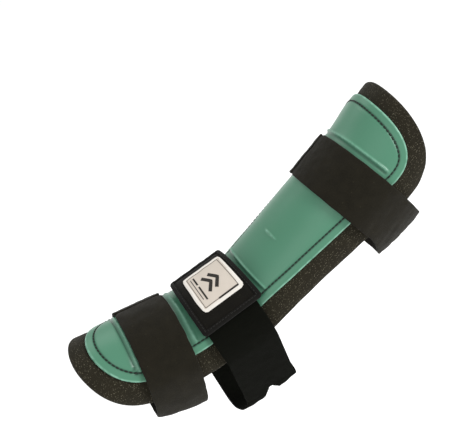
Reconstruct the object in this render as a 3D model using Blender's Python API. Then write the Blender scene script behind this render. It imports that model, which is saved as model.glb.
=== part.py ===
"""Front-shell ankle foot orthosis: a moulded shell over the shin and the instep, lined with foam,
and held by a calf strap, a forefoot strap and a heel strap that closes under a labelled ankle flap.

Left foot. Toes point to -Y, the outer side of the leg is +X, Z is up, and all sizes are metres.
The origin is the middle of the ankle, inside the leg. The crest is the line down the front of the
shin and along the top of the foot. Every layer is laid on one base surface, whose points are given by
a distance along the crest (0 at the ankle bend, plus towards the toes), an angle round the leg
(0 at the crest, plus towards the outer side) and a height over the shell's outer face.
"""

import math

import bmesh
import bpy
import numpy as np
from mathutils import Vector

# The crest line.
SHIN_LEAN = math.radians(44.5)
ANKLE_BEND = math.radians(37.8)
BEND_RADIUS = 0.0475

# Stations along the crest where the leg's section is set, and its half width and front half depth.
SECTION_AT = (-0.230, -0.150, -0.060, 0.000, 0.060, 0.120, 0.160)
HALF_WIDTH = (0.0580, 0.0595, 0.0555, 0.0570, 0.0570, 0.0525, 0.0460)
FRONT_DEPTH = (0.0570, 0.0580, 0.0427, 0.0392, 0.0530, 0.0447, 0.0300)
SOLE_DEPTH_SHARE = 0.76
SOLE_SQUARENESS = 0.80
SOLE_FROM = 0.005
SOLE_TO = 0.050

# The shell's outline, as half widths measured round the leg, with rounded ends.
EDGE_AT = (-0.190, -0.127, -0.062, 0.000, 0.045, 0.100)
EDGE_HALF_WIDTH = (0.0652, 0.0580, 0.0503, 0.0440, 0.0500, 0.0540)
SHELL_TOP = -0.226
SHELL_TOP_ROUND = 0.038
SHELL_TOE = 0.142
SHELL_TOE_ROUND = 0.047
TOP_SQUARENESS = 2.9
LINER_TOP_SQUARENESS = 2.5
TOE_SQUARENESS = 2.0
TOP_SLANT = 0.0072
TOP_FLARE = 0.0045
FLARE_FROM = 0.180
FLARE_TO = 0.226
FLARE_FADE = (math.radians(-20), math.radians(45))
SLANT_ARC = 0.060
SLANT_FROM = 0.110
SLANT_TO = 0.190

# The liner stands out past the shell all round.
LINER_SIDE_MARGIN = 0.0275
LINER_END_MARGIN = 0.017
LINER_EXTRA_ROUND = 0.018
CLOTH_INSET = 0.002
ROW_SPACING = 0.0125

# Layers, as heights over the shell's outer face.
SHELL_LAYER = (-0.0026, 0.0)
FOAM_LAYER = (-0.0094, -0.0032)
CLOTH_LAYER = (-0.0112, -0.0103)
HOOK_LAYER = (0.0005, 0.0013)
STRAP_LIFT = 0.0022
STRAP_THICKNESS = 0.0026

# Moulded ridges across the shell that keep the straps in place: place along the crest.
RIDGES_AT = (-0.184, -0.028, 0.050, 0.112)
RIDGE_HEIGHT = 0.0012
RIDGE_HALF_WIDTH = 0.0030
RIDGE_FADE = (0.72, 0.90)

# Straps.
STRAP_WIDTH = 0.050
CALF_STRAP_AT = -0.177
FOREFOOT_STRAP_AT = 0.0555
HOOK_EDGE_MARGIN = 0.006
HOOK_HALF_ANGLE = math.radians(48)
PIECE_GAP = 0.0004
TAB_END = math.radians(-30)
ANCHOR_END = math.radians(-34)
TAB_HINGE = math.radians(66)
SIDE_HINGE = math.radians(130)
BACK_HINGE = math.radians(260)

# How far a strap sinks below its height on the shell, first over the liner and then on the leg.
OVER_LINER = (math.radians(62), math.radians(80), 0.0020)
ON_LEG = (math.radians(96), math.radians(128), -0.0015)

# The heel strap, in the ankle's own axes: along the line that bridges the bend, and depth behind it.
# The bridge lies nearer the foot's slope than the shin's, by the tilt.
BRIDGE_TILT = math.radians(4.0)
HEEL_WIDTH = 0.056
HEEL_CENTRE = 0.0110
HEEL_HALF_SPAN = 0.0575
HEEL_FRONT_HEIGHT = 0.0090
HEEL_FRONT_DEPTH = 0.0440
HEEL_SPLIT_DEPTH = 0.099
HEEL_SPLIT_WIDTH = 0.062
HEEL_SPLIT_CENTRE = 0.0130
HEEL_BRANCH_REACH = 0.034
HEEL_TAB_END = math.radians(12)
HEEL_INNER_START = math.radians(32)
BRANCH_WIDTH = 0.0290
SOLE_BRANCH_SHIFT = 0.016
BACK_BRANCH_SHIFT = -0.005

# The ankle flap.
FLAP_TILT = math.radians(2.0)
FLAP_CENTRE = 0.0105
FLAP_SHIFT = 0.0055
FLAP_LENGTH = 0.064
FLAP_SPAN = math.radians(32.7)
FLAP_RADIUS = 0.064
FLAP_HEIGHT = 0.0158
FLAP_THICKNESS = 0.0050
BINDING_WIDTH = 0.0050
BINDING_EXTRA = 0.0006
FLAP_CORNER = 0.004
LABEL_SIZE = (0.045, 0.045)
LABEL_SHIFT = -0.003
LABEL_LAYER = (0.0004, 0.0010)
FLAP_HOOK_LAYER = (-0.0010, -0.0004)
FLAP_HOOK_SPAN = (math.radians(5), math.radians(28))

GREEN = ((0.098, 0.292, 0.191), 0.42)
FOAM_BLACK = ((0.021, 0.018, 0.014), 0.95)
CLOTH_GREY = ((0.030, 0.030, 0.030), 0.95)
HOOK_BLACK = ((0.012, 0.012, 0.012), 0.85)
LOOP_BLACK = ((0.016, 0.014, 0.010), 0.95)
WEBBING_BLACK = ((0.007, 0.007, 0.006), 0.90)
LABEL_WHITE = ((0.790, 0.740, 0.680), 0.60)


def clear_scene():
    """Remove every object of the open scene."""
    for thing in list(bpy.data.objects):
        bpy.data.objects.remove(thing, do_unlink=True)


def make_material(name, finish):
    """A plain Principled material from a colour and a roughness."""
    colour, roughness = finish
    material = bpy.data.materials.new(name)
    material.use_nodes = True
    shader = material.node_tree.nodes["Principled BSDF"]
    shader.inputs["Base Color"].default_value = (*colour, 1.0)
    shader.inputs["Roughness"].default_value = roughness
    shader.inputs["Metallic"].default_value = 0.0
    return material


def smooth_step(value, start, end):
    """0 before start, 1 after end, and an even S between."""
    share = min(max((value - start) / (end - start), 0.0), 1.0)
    return share * share * (3.0 - 2.0 * share)


def curve_through(stations, values, at):
    """Read a smooth curve through the stations that never overshoots them."""
    at = min(max(at, stations[0]), stations[-1])
    rise = np.diff(values) / np.diff(stations)
    slopes = [rise[0]]
    for before, after in zip(rise[:-1], rise[1:]):
        turning = before * after <= 0.0
        slopes.append(0.0 if turning else 2.0 * before * after / (before + after))
    slopes.append(rise[-1])
    index = min(int(np.searchsorted(stations, at, side="right")) - 1, len(stations) - 2)
    span = stations[index + 1] - stations[index]
    t = (at - stations[index]) / span
    start = (1.0 + 2.0 * t) * (1.0 - t) ** 2 * values[index]
    end = t * t * (3.0 - 2.0 * t) * values[index + 1]
    leave = t * (1.0 - t) ** 2 * span * slopes[index]
    arrive = t * t * (t - 1.0) * span * slopes[index + 1]
    return float(start + end + leave + arrive)


def directions(angle):
    """Along the crest towards the toes, and out from the leg, where the crest leans by angle."""
    along = Vector((0.0, -math.sin(angle), -math.cos(angle)))
    out = Vector((0.0, -math.cos(angle), math.sin(angle)))
    return along, out


def crest(at):
    """The crest's point, its direction towards the toes, and its outward direction."""
    half_bend = BEND_RADIUS * ANKLE_BEND / 2.0
    along_shin, out_shin = directions(SHIN_LEAN)
    along_foot, out_foot = directions(SHIN_LEAN + ANKLE_BEND)
    middle_out = directions(SHIN_LEAN + ANKLE_BEND / 2.0)[1]
    ankle_front = middle_out * curve_through(SECTION_AT, FRONT_DEPTH, 0.0)
    centre = ankle_front + middle_out * BEND_RADIUS
    if at <= -half_bend:
        return centre - out_shin * BEND_RADIUS + along_shin * (at + half_bend), along_shin, out_shin
    if at >= half_bend:
        return centre - out_foot * BEND_RADIUS + along_foot * (at - half_bend), along_foot, out_foot
    along, out = directions(SHIN_LEAN + ANKLE_BEND / 2.0 + at / BEND_RADIUS)
    return centre - out * BEND_RADIUS, along, out


def section(at, angle, height):
    """How far a surface point lies to the side of the crest, and how far behind it."""
    half_width = curve_through(SECTION_AT, HALF_WIDTH, at) + height
    depth = curve_through(SECTION_AT, FRONT_DEPTH, at) + height
    side = math.sin(angle)
    front = math.cos(angle)
    if front >= 0.0:
        return half_width * side, depth * (1.0 - front) - height
    foot = smooth_step(at, SOLE_FROM, SOLE_TO)
    power = 1.0 + (SOLE_SQUARENESS - 1.0) * foot
    back_depth = depth * (1.0 + (SOLE_DEPTH_SHARE - 1.0) * foot)
    side = math.copysign(abs(side) ** power, side)
    return half_width * side, depth - height + back_depth * (-front) ** power


def top_flare(at, angle):
    """How far the top end turns outwards, on the inner side of the leg."""
    inner = 1.0 - smooth_step(angle, *FLARE_FADE)
    return TOP_FLARE * smooth_step(-at, FLARE_FROM, FLARE_TO) * inner


def surface_point(at, angle, height):
    """A point of the base surface, moved out from it by height."""
    point, _, out = crest(at)
    sideways, behind = section(at, angle, height + top_flare(at, angle))
    return point + Vector((sideways, 0.0, 0.0)) - out * behind


def angle_of_arc(at, arc):
    """The angle round the leg at which an arc from the crest has the given length."""
    angles = np.linspace(0.0, math.radians(125), 80)
    half_width = curve_through(SECTION_AT, HALF_WIDTH, at)
    depth = curve_through(SECTION_AT, FRONT_DEPTH, at)
    speed = np.hypot(half_width * np.cos(angles), depth * np.sin(angles))
    step = angles[1] - angles[0]
    lengths = np.concatenate(([0.0], np.cumsum((speed[1:] + speed[:-1]) / 2.0 * step)))
    return math.copysign(float(np.interp(abs(arc), lengths, angles)), arc)


def rounded(share, squareness):
    """The other coordinate of a rounded corner, from 1 at share 0 to 0 at share 1."""
    return (1.0 - min(share, 1.0) ** squareness) ** (1.0 / squareness)


def outline_half_width(at, margin, top, top_round, top_squareness, toe, toe_round):
    """Half the width of a layer, round the leg, with rounded ends."""
    width = curve_through(EDGE_AT, EDGE_HALF_WIDTH, at) + margin
    into_top = max(0.0, (top + top_round - at) / top_round)
    into_toe = max(0.0, (at - toe + toe_round) / toe_round)
    return width * rounded(into_top, top_squareness) * rounded(into_toe, TOE_SQUARENESS)


def layer_rows(top, top_round, top_squareness, toe, toe_round):
    """Places along the crest for a layer's rows, close together in its rounded ends.

    The rows between the ends are the same for every layer, so that the layers nest.
    """
    widths = np.sin(np.radians((4.5, 16.0, 31.0, 48.0, 66.0)))
    top_end = [top + top_round * (1.0 - rounded(width, top_squareness)) for width in widths]
    toe_end = [toe - toe_round * (1.0 - rounded(width, TOE_SQUARENESS)) for width in reversed(widths)]
    first = math.ceil((top_end[-1] + ROW_SPACING / 2.0) / ROW_SPACING)
    last = math.floor((toe - toe_round * 0.80) / ROW_SPACING)
    middle = [ROW_SPACING * step for step in range(first, last + 1)]
    return [*top_end, *middle, *toe_end]


def ridge_rows(rows):
    """Add three rows across each moulded ridge, and drop the rows that crowd them."""
    clear = [row for row in rows if min(abs(row - ridge) for ridge in RIDGES_AT) > RIDGE_HALF_WIDTH * 1.6]
    for ridge in RIDGES_AT:
        clear.extend((ridge - RIDGE_HALF_WIDTH, ridge, ridge + RIDGE_HALF_WIDTH))
    return sorted(clear)


def ridge_height(at, share):
    """How far the ridges raise the shell's face, fading out before its side edges."""
    nearest = min(abs(at - ridge) for ridge in RIDGES_AT)
    across = 1.0 - smooth_step(nearest, 0.0, RIDGE_HALF_WIDTH)
    return RIDGE_HEIGHT * across * (1.0 - smooth_step(abs(share), *RIDGE_FADE))


def link(name, mesh_builder, material, origin):
    """Turn a bmesh into a named object whose origin is given, with its faces pointing outwards."""
    bmesh.ops.recalc_face_normals(mesh_builder, faces=mesh_builder.faces)
    bmesh.ops.translate(mesh_builder, verts=mesh_builder.verts, vec=-origin)
    mesh = bpy.data.meshes.new(name)
    mesh_builder.to_mesh(mesh)
    mesh_builder.free()
    mesh.materials.append(material)
    mesh.shade_smooth()
    mesh.set_sharp_from_angle(angle=math.radians(40))
    thing = bpy.data.objects.new(name, mesh)
    thing.location = origin
    bpy.context.scene.collection.objects.link(thing)
    return thing


def sheet_solid(name, upper, lower, material, origin=Vector()):
    """Close two matching grids of points, the upper and the lower face, into one solid."""
    build = bmesh.new()
    top = [[build.verts.new(point) for point in row] for row in upper]
    under = [[build.verts.new(point) for point in row] for row in lower]
    last_row = len(top) - 1
    last_column = len(top[0]) - 1
    for grid in (top, under):
        for r in range(last_row):
            for c in range(last_column):
                build.faces.new((grid[r][c], grid[r + 1][c], grid[r + 1][c + 1], grid[r][c + 1]))
    border = [(r, 0) for r in range(last_row)]
    border += [(last_row, c) for c in range(last_column)]
    border += [(r, last_column) for r in range(last_row, 0, -1)]
    border += [(0, c) for c in range(last_column, 0, -1)]
    for (r, c), (next_r, next_c) in zip(border, border[1:] + border[:1]):
        build.faces.new((top[r][c], top[next_r][next_c], under[next_r][next_c], under[r][c]))
    return link(name, build, material, origin)


def slanted(at, arc):
    """Shift a place near the top end, which reaches higher on the inner side of the leg."""
    return at + TOP_SLANT * arc / SLANT_ARC * smooth_step(-at, SLANT_FROM, SLANT_TO)


def layer_grid(rows, columns, half_width, height):
    """Points of one face of a layer: rows along the crest, columns from side to side."""
    grid = []
    for at in rows:
        width = half_width(at)
        line = []
        for share in np.linspace(-1.0, 1.0, columns):
            arc = width * share
            place = slanted(at, arc)
            line.append(surface_point(place, angle_of_arc(at, arc), height(place, share)))
        grid.append(line)
    return grid


def build_shell(material):
    """The moulded shell, with its ridges on the outer face."""
    def half_width(at):
        return outline_half_width(at, 0.0, *ends)

    ends = (SHELL_TOP, SHELL_TOP_ROUND, TOP_SQUARENESS, SHELL_TOE, SHELL_TOE_ROUND)
    rows = ridge_rows(layer_rows(*ends))
    outer = layer_grid(rows, 14, half_width, lambda at, share: SHELL_LAYER[1] + ridge_height(at, share))
    inner = layer_grid(rows, 14, half_width, lambda at, share: SHELL_LAYER[0])
    return sheet_solid("shell", outer, inner, material)


def build_liner_layer(name, layer, inset, columns, material):
    """A layer of the liner: the foam, or the cloth that faces it inside."""
    top = SHELL_TOP - LINER_END_MARGIN + inset
    toe = SHELL_TOE + LINER_END_MARGIN - inset
    top_round = SHELL_TOP_ROUND + LINER_EXTRA_ROUND
    ends = (top, top_round, LINER_TOP_SQUARENESS, toe, SHELL_TOE_ROUND + LINER_EXTRA_ROUND)
    margin = LINER_SIDE_MARGIN - inset

    def half_width(at):
        return outline_half_width(at, margin, *ends)

    rows = layer_rows(*ends)
    outer = layer_grid(rows, columns, half_width, lambda at, share: layer[1])
    inner = layer_grid(rows, columns, half_width, lambda at, share: layer[0])
    return sheet_solid(name, outer, inner, material)


def build_hook_patch(name, start, material):
    """A hook patch on the shell's face, under a strap."""
    rows = np.linspace(start + HOOK_EDGE_MARGIN, start + STRAP_WIDTH - HOOK_EDGE_MARGIN, 4)
    angles = np.linspace(-HOOK_HALF_ANGLE, HOOK_HALF_ANGLE, 12)
    upper = [[surface_point(at, angle, HOOK_LAYER[1]) for angle in angles] for at in rows]
    lower = [[surface_point(at, angle, HOOK_LAYER[0]) for angle in angles] for at in rows]
    return sheet_solid(name, upper, lower, material)


def strap_height(angle):
    """The strap's inner face over the shell's face: it sinks past the shell's and the liner's edges."""
    turn = abs(math.remainder(angle, 2.0 * math.pi))
    height = STRAP_LIFT
    for start, end, drop in (OVER_LINER, ON_LEG):
        height -= drop * smooth_step(turn, start, end)
    return height


def strap_edge(at, angle, raised):
    """A point on one edge of a strap, on its inner face or raised by its thickness."""
    return surface_point(at, angle, strap_height(angle) + raised)


def gap_angle(at):
    """The angle that half a gap between two strap pieces takes round the leg."""
    return PIECE_GAP / 2.0 / curve_through(SECTION_AT, HALF_WIDTH, at)


def build_strap_piece(name, start, first, last, material, hinge=None):
    """A stretch of a strap between two angles, straight across its width.

    The origin of a piece that moves lies on its hinge, a line across the strap's outer face.
    """
    trim = math.copysign(gap_angle(start), last - first)
    columns = max(3, round(abs(last - first) / math.radians(10)) + 1)
    angles = np.linspace(first + trim, last - trim, columns)
    edges = (start, start + STRAP_WIDTH)
    upper = [[strap_edge(at, angle, STRAP_THICKNESS) for angle in angles] for at in edges]
    lower = [[strap_edge(at, angle, 0.0) for angle in angles] for at in edges]
    origin = Vector()
    if hinge is not None:
        origin = hinge_point(start, hinge)
    return sheet_solid(name, upper, lower, material, origin)


def hinge_point(start, angle):
    """The middle of a hinge line across a strap."""
    near = strap_edge(start, angle, STRAP_THICKNESS)
    far = strap_edge(start + STRAP_WIDTH, angle, STRAP_THICKNESS)
    return (near + far) / 2.0


def build_strap(prefix, middle_name, start, material):
    """A strap in the four stretches that fold on three hinge lines, from its fixed end to its tab."""
    full = 2.0 * math.pi
    build_strap_piece(prefix + "_anchor", start, full + ANCHOR_END, BACK_HINGE, material)
    build_strap_piece(prefix + middle_name, start, BACK_HINGE, SIDE_HINGE, material, BACK_HINGE)
    build_strap_piece(prefix + "_side", start, SIDE_HINGE, TAB_HINGE, material, SIDE_HINGE)
    build_strap_piece(prefix + "_tab", start, TAB_HINGE, TAB_END, material, TAB_HINGE)


def ankle_point(sideways, along, depth, tilt=BRIDGE_TILT):
    """A point in the ankle's own axes: to the side, along the bridge over the bend, behind the bend."""
    front = crest(0.0)[0]
    tangent, out = directions(SHIN_LEAN + ANKLE_BEND / 2.0 + tilt)
    return front + Vector((sideways, 0.0, 0.0)) + tangent * along - out * depth


def heel_front(angle, raised):
    """Side and depth of the heel strap where it passes over the instep."""
    sideways = (HEEL_HALF_SPAN + raised) * math.sin(angle)
    depth = HEEL_FRONT_DEPTH - HEEL_FRONT_HEIGHT - (HEEL_FRONT_DEPTH + raised) * math.cos(angle)
    return sideways, depth


def heel_band(name, path, material, side=1.0, origin=Vector()):
    """A strip of the heel strap through (sideways, depth, along, width, twist, outward) stations."""
    upper = ([], [])
    lower = ([], [])
    for sideways, depth, along, width, twist, outward in path:
        for edge, sign in enumerate((-1.0, 1.0)):
            reach = sign * width / 2.0
            step = reach * math.cos(twist)
            sink = reach * math.sin(twist)
            for raised, rows in ((STRAP_THICKNESS, upper), (0.0, lower)):
                out_side = sideways + raised * outward[0]
                out_depth = depth + sink + raised * outward[1] * math.cos(twist)
                out_along = along + step - raised * outward[1] * math.sin(twist)
                rows[edge].append(ankle_point(side * out_side, out_along, out_depth))
    return sheet_solid(name, upper, lower, material, origin)


def heel_front_path(first, last, steps):
    """Stations of the heel strap over the instep, between two angles."""
    path = []
    for angle in np.linspace(first, last, steps):
        sideways, depth = heel_front(angle, 0.0)
        path.append((sideways, depth, HEEL_CENTRE, HEEL_WIDTH, 0.0, (math.sin(angle), -math.cos(angle))))
    return path


def heel_side_path(first_depth, steps):
    """Stations of the heel strap down the side of the ankle, widening towards its split."""
    path = []
    for depth in np.linspace(first_depth, HEEL_SPLIT_DEPTH, steps):
        share = (depth - first_depth) / (HEEL_SPLIT_DEPTH - first_depth)
        width = HEEL_WIDTH + (HEEL_SPLIT_WIDTH - HEEL_WIDTH) * share
        centre = HEEL_CENTRE + (HEEL_SPLIT_CENTRE - HEEL_CENTRE) * share
        path.append((HEEL_HALF_SPAN, depth, centre, width, 0.0, (1.0, 0.0)))
    return path


def heel_branch_path(shift, twist):
    """Stations of a branch round the heel, from its outer side to its inner side."""
    path = []
    start = math.copysign((HEEL_SPLIT_WIDTH - BRANCH_WIDTH) / 2.0, shift)
    for turn in np.linspace(0.0, math.pi, 17):
        side = math.copysign(abs(math.cos(turn)) ** 0.85, math.cos(turn))
        reach = math.sin(turn) ** 0.85
        drift = smooth_step(math.sin(turn), 0.0, 1.0)
        sideways = HEEL_HALF_SPAN * side
        depth = HEEL_SPLIT_DEPTH + PIECE_GAP + HEEL_BRANCH_REACH * reach
        along = HEEL_SPLIT_CENTRE + start + shift * drift
        outward = Vector((math.cos(turn), math.sin(turn))).normalized()
        path.append((sideways, depth, along, BRANCH_WIDTH, twist * drift, (outward.x, outward.y)))
    return path


def build_heel_strap(material):
    """The heel strap: a tab over the instep, a stretch down each side, and two branches at the heel."""
    right = math.pi / 2.0
    hinge_depth = heel_front(right, 0.0)[1]
    trim = PIECE_GAP / 2.0 / HEEL_HALF_SPAN
    hinge = ankle_point(HEEL_HALF_SPAN + STRAP_THICKNESS, HEEL_CENTRE, hinge_depth)
    heel_band("heel_strap_tab", heel_front_path(HEEL_TAB_END, right - trim, 9), material, 1.0, hinge)
    heel_band("heel_strap_outer_side", heel_side_path(hinge_depth + PIECE_GAP / 2.0, 3), material)
    inner = heel_front_path(HEEL_INNER_START, right, 5) + heel_side_path(hinge_depth, 3)[1:]
    heel_band("heel_strap_inner_side", inner, material, -1.0)
    heel_band("heel_strap_sole_branch", heel_branch_path(SOLE_BRANCH_SHIFT, -ANKLE_BEND / 2.0), material)
    heel_band("heel_strap_back_branch", heel_branch_path(BACK_BRANCH_SHIFT, ANKLE_BEND / 2.0), material)


def flap_point(across, along, height):
    """A point of the ankle flap: across it round the instep, along it, and over its under face."""
    radius = FLAP_RADIUS + height
    angle = (across + FLAP_SHIFT) / FLAP_RADIUS
    depth = FLAP_RADIUS - FLAP_HEIGHT - radius * math.cos(angle)
    return ankle_point(radius * math.sin(angle), FLAP_CENTRE + along, depth, FLAP_TILT)


def flap_patch(name, span, length, layer, columns, material, origin, shift=0.0):
    """A rectangular patch of the flap between two spans across it."""
    across = np.linspace(span[0], span[1], columns)
    along = np.linspace(-length / 2.0, length / 2.0, 3) + shift
    upper = [[flap_point(place, row, layer[1]) for place in across] for row in along]
    lower = [[flap_point(place, row, layer[0]) for place in across] for row in along]
    return sheet_solid(name, upper, lower, material, origin)


def rounded_rectangle(half_across, half_along, corner, side_steps):
    """Points round a rectangle with arc corners, counter-clockwise."""
    points = []
    centres = ((1, 1), (-1, 1), (-1, -1), (1, -1))
    for quarter, (sign_across, sign_along) in enumerate(centres):
        for step in range(4):
            turn = math.radians(90 * quarter + 30 * step)
            points.append((sign_across * (half_across - corner) + corner * math.cos(turn),
                           sign_along * (half_along - corner) + corner * math.sin(turn)))
        if quarter in (0, 2):
            reach = half_across - corner
            for step in range(1, side_steps):
                points.append((sign_across * reach * (1.0 - 2.0 * step / side_steps), points[-1][1]))
    return points


def build_binding(material, origin):
    """The bound edge of the flap: a frame round the pad, a little thicker than it."""
    half_across = FLAP_SPAN * FLAP_RADIUS
    half_along = FLAP_LENGTH / 2.0
    outer = rounded_rectangle(half_across, half_along, FLAP_CORNER, 8)
    inner = rounded_rectangle(half_across - BINDING_WIDTH, half_along - BINDING_WIDTH, 0.0008, 8)
    low, high = -BINDING_EXTRA / 2.0, FLAP_THICKNESS + BINDING_EXTRA
    loops = [[flap_point(*point, height) for point in ring]
             for ring, height in ((outer, low), (outer, high), (inner, high), (inner, low))]
    build = bmesh.new()
    rings = [[build.verts.new(point) for point in loop] for loop in loops]
    count = len(outer)
    for ring, following in zip(rings, rings[1:] + rings[:1]):
        for index in range(count):
            after = (index + 1) % count
            build.faces.new((ring[index], ring[after], following[after], following[index]))
    return link("ankle_flap_binding", build, material, origin)


def build_flap(pad, binding, hook, label):
    """The ankle flap: bound pad, hook patch under it and sewn label on it, on a hinge inside."""
    origin = flap_point(-FLAP_SPAN * FLAP_RADIUS, 0.0, FLAP_THICKNESS)
    inset = BINDING_WIDTH + PIECE_GAP
    half_across = FLAP_SPAN * FLAP_RADIUS - inset
    flap_patch("ankle_flap_pad", (-half_across, half_across), FLAP_LENGTH - 2.0 * inset,
               (0.0, FLAP_THICKNESS), 12, pad, origin)
    hook_span = [edge * FLAP_RADIUS for edge in FLAP_HOOK_SPAN]
    flap_patch("ankle_flap_hook", hook_span, FLAP_LENGTH * 0.7, FLAP_HOOK_LAYER, 5, hook, origin)
    label_layer = [FLAP_THICKNESS + height for height in LABEL_LAYER]
    flap_patch("ankle_flap_label", (-LABEL_SIZE[0] / 2.0, LABEL_SIZE[0] / 2.0), LABEL_SIZE[1],
               label_layer, 9, label, origin, LABEL_SHIFT)
    build_binding(binding, origin)


def build_orthosis():
    """Build every piece."""
    clear_scene()
    hook = make_material("hook_tape", HOOK_BLACK)
    webbing = make_material("elastic_webbing", WEBBING_BLACK)
    plush = make_material("plush_strap", LOOP_BLACK)
    build_shell(make_material("green_shell", GREEN))
    foam = make_material("liner_foam", FOAM_BLACK)
    build_liner_layer("foam_liner", FOAM_LAYER, 0.0, 18, foam)
    cloth = make_material("lining_cloth", CLOTH_GREY)
    build_liner_layer("lining_cloth", CLOTH_LAYER, CLOTH_INSET, 16, cloth)
    build_hook_patch("calf_hook_patch", CALF_STRAP_AT, hook)
    build_hook_patch("forefoot_hook_patch", FOREFOOT_STRAP_AT, hook)
    build_strap("calf_strap", "_back", CALF_STRAP_AT, plush)
    build_strap("forefoot_strap", "_sole", FOREFOOT_STRAP_AT, plush)
    build_heel_strap(webbing)
    label = make_material("woven_label", LABEL_WHITE)
    fabric = make_material("flap_fabric", LOOP_BLACK)
    binding = make_material("flap_binding", WEBBING_BLACK)
    build_flap(fabric, binding, hook, label)


build_orthosis()
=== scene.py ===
"""The looks of a front-shell ankle foot orthosis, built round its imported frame.

Every layer is laid on one leg-shaped base surface. A place on it is given by a distance along the
crest of the shin and instep (0 at the ankle bend, plus towards the toes), a turn or an arc round the
leg (0 at the crest, plus towards the outer side) and a height over the shell's outer face. All sizes
are in metres, and patterns are sized in millimetres.
"""

from __future__ import annotations

import logging
import math
from dataclasses import dataclass, field
from enum import Enum
from typing import Callable

import bmesh
import bpy
import numpy as np
from mathutils import Matrix, Vector

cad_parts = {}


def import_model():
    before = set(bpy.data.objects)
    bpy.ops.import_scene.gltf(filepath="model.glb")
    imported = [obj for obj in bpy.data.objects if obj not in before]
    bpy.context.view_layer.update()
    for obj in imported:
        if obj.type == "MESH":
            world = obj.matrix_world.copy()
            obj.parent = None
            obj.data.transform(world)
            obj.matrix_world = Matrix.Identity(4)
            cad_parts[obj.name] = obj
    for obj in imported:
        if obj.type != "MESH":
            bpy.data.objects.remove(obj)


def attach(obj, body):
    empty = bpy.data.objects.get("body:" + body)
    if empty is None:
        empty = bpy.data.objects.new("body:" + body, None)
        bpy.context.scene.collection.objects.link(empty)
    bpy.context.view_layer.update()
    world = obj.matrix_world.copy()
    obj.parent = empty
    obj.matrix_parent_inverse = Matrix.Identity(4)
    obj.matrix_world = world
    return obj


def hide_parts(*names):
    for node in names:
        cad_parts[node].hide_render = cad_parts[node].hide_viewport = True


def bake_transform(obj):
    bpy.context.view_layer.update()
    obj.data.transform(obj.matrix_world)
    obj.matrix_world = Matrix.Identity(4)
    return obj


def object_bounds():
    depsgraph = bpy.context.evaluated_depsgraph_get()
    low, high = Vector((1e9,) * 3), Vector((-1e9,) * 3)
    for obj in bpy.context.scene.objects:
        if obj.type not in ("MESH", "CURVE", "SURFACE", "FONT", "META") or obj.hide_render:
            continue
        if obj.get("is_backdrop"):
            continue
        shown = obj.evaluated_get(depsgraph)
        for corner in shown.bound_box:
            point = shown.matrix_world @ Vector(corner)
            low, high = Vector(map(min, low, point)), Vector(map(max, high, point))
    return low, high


logging.basicConfig(level=logging.INFO, format="%(message)s")
LOG = logging.getLogger("orthosis")

MM = 0.001

# How far the liner stands out at its sides and ends, how much rounder its ends are, and how square its top.
LINER_MARGINS = (0.0275, 0.017, 0.018, 2.5)
# The shell's hook tape: half its turn round the crest, how far inside the strap it stays, and its layer.
HOOK_HALF_TURN = math.radians(48)
HOOK_EDGE_MARGIN = 0.006
HOOK_LAYER = (0.0005, 0.0011)


# ---------------------------------------------------------------- colours and nodes

def linear(code: str) -> tuple[float, float, float, float]:
    """Turn an sRGB hex colour into linear red, green, blue and a full alpha.

    Args:
        code: The colour, such as "#5a9a7c".

    Returns:
        The linear colour with alpha 1.
    """
    parts = [int(code[place:place + 2], 16) / 255.0 for place in (1, 3, 5)]
    low = [part / 12.92 if part <= 0.04045 else ((part + 0.055) / 1.055) ** 2.4 for part in parts]
    return (low[0], low[1], low[2], 1.0)


def add_node(tree: bpy.types.NodeTree, kind: str, sockets: dict | None = None, **settings) -> bpy.types.Node:
    """Add a node with its settings, its socket values and its incoming links.

    Args:
        tree: The shader or geometry tree.
        kind: The node's type name.
        sockets: Socket name or number to a value, or to the output socket that feeds it.
        settings: The node's own properties.

    Returns:
        The new node.
    """
    node = tree.nodes.new(kind)
    for key, value in settings.items():
        setattr(node, key, value)
    for key, value in (sockets or {}).items():
        if isinstance(value, bpy.types.NodeSocket):
            tree.links.new(value, node.inputs[key])
        else:
            node.inputs[key].default_value = value
    return node


class Coordinates(Enum):
    """What a pattern follows: the space round the piece, or the piece's own surface."""

    SPACE = "Object"
    SURFACE = "UV"


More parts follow.
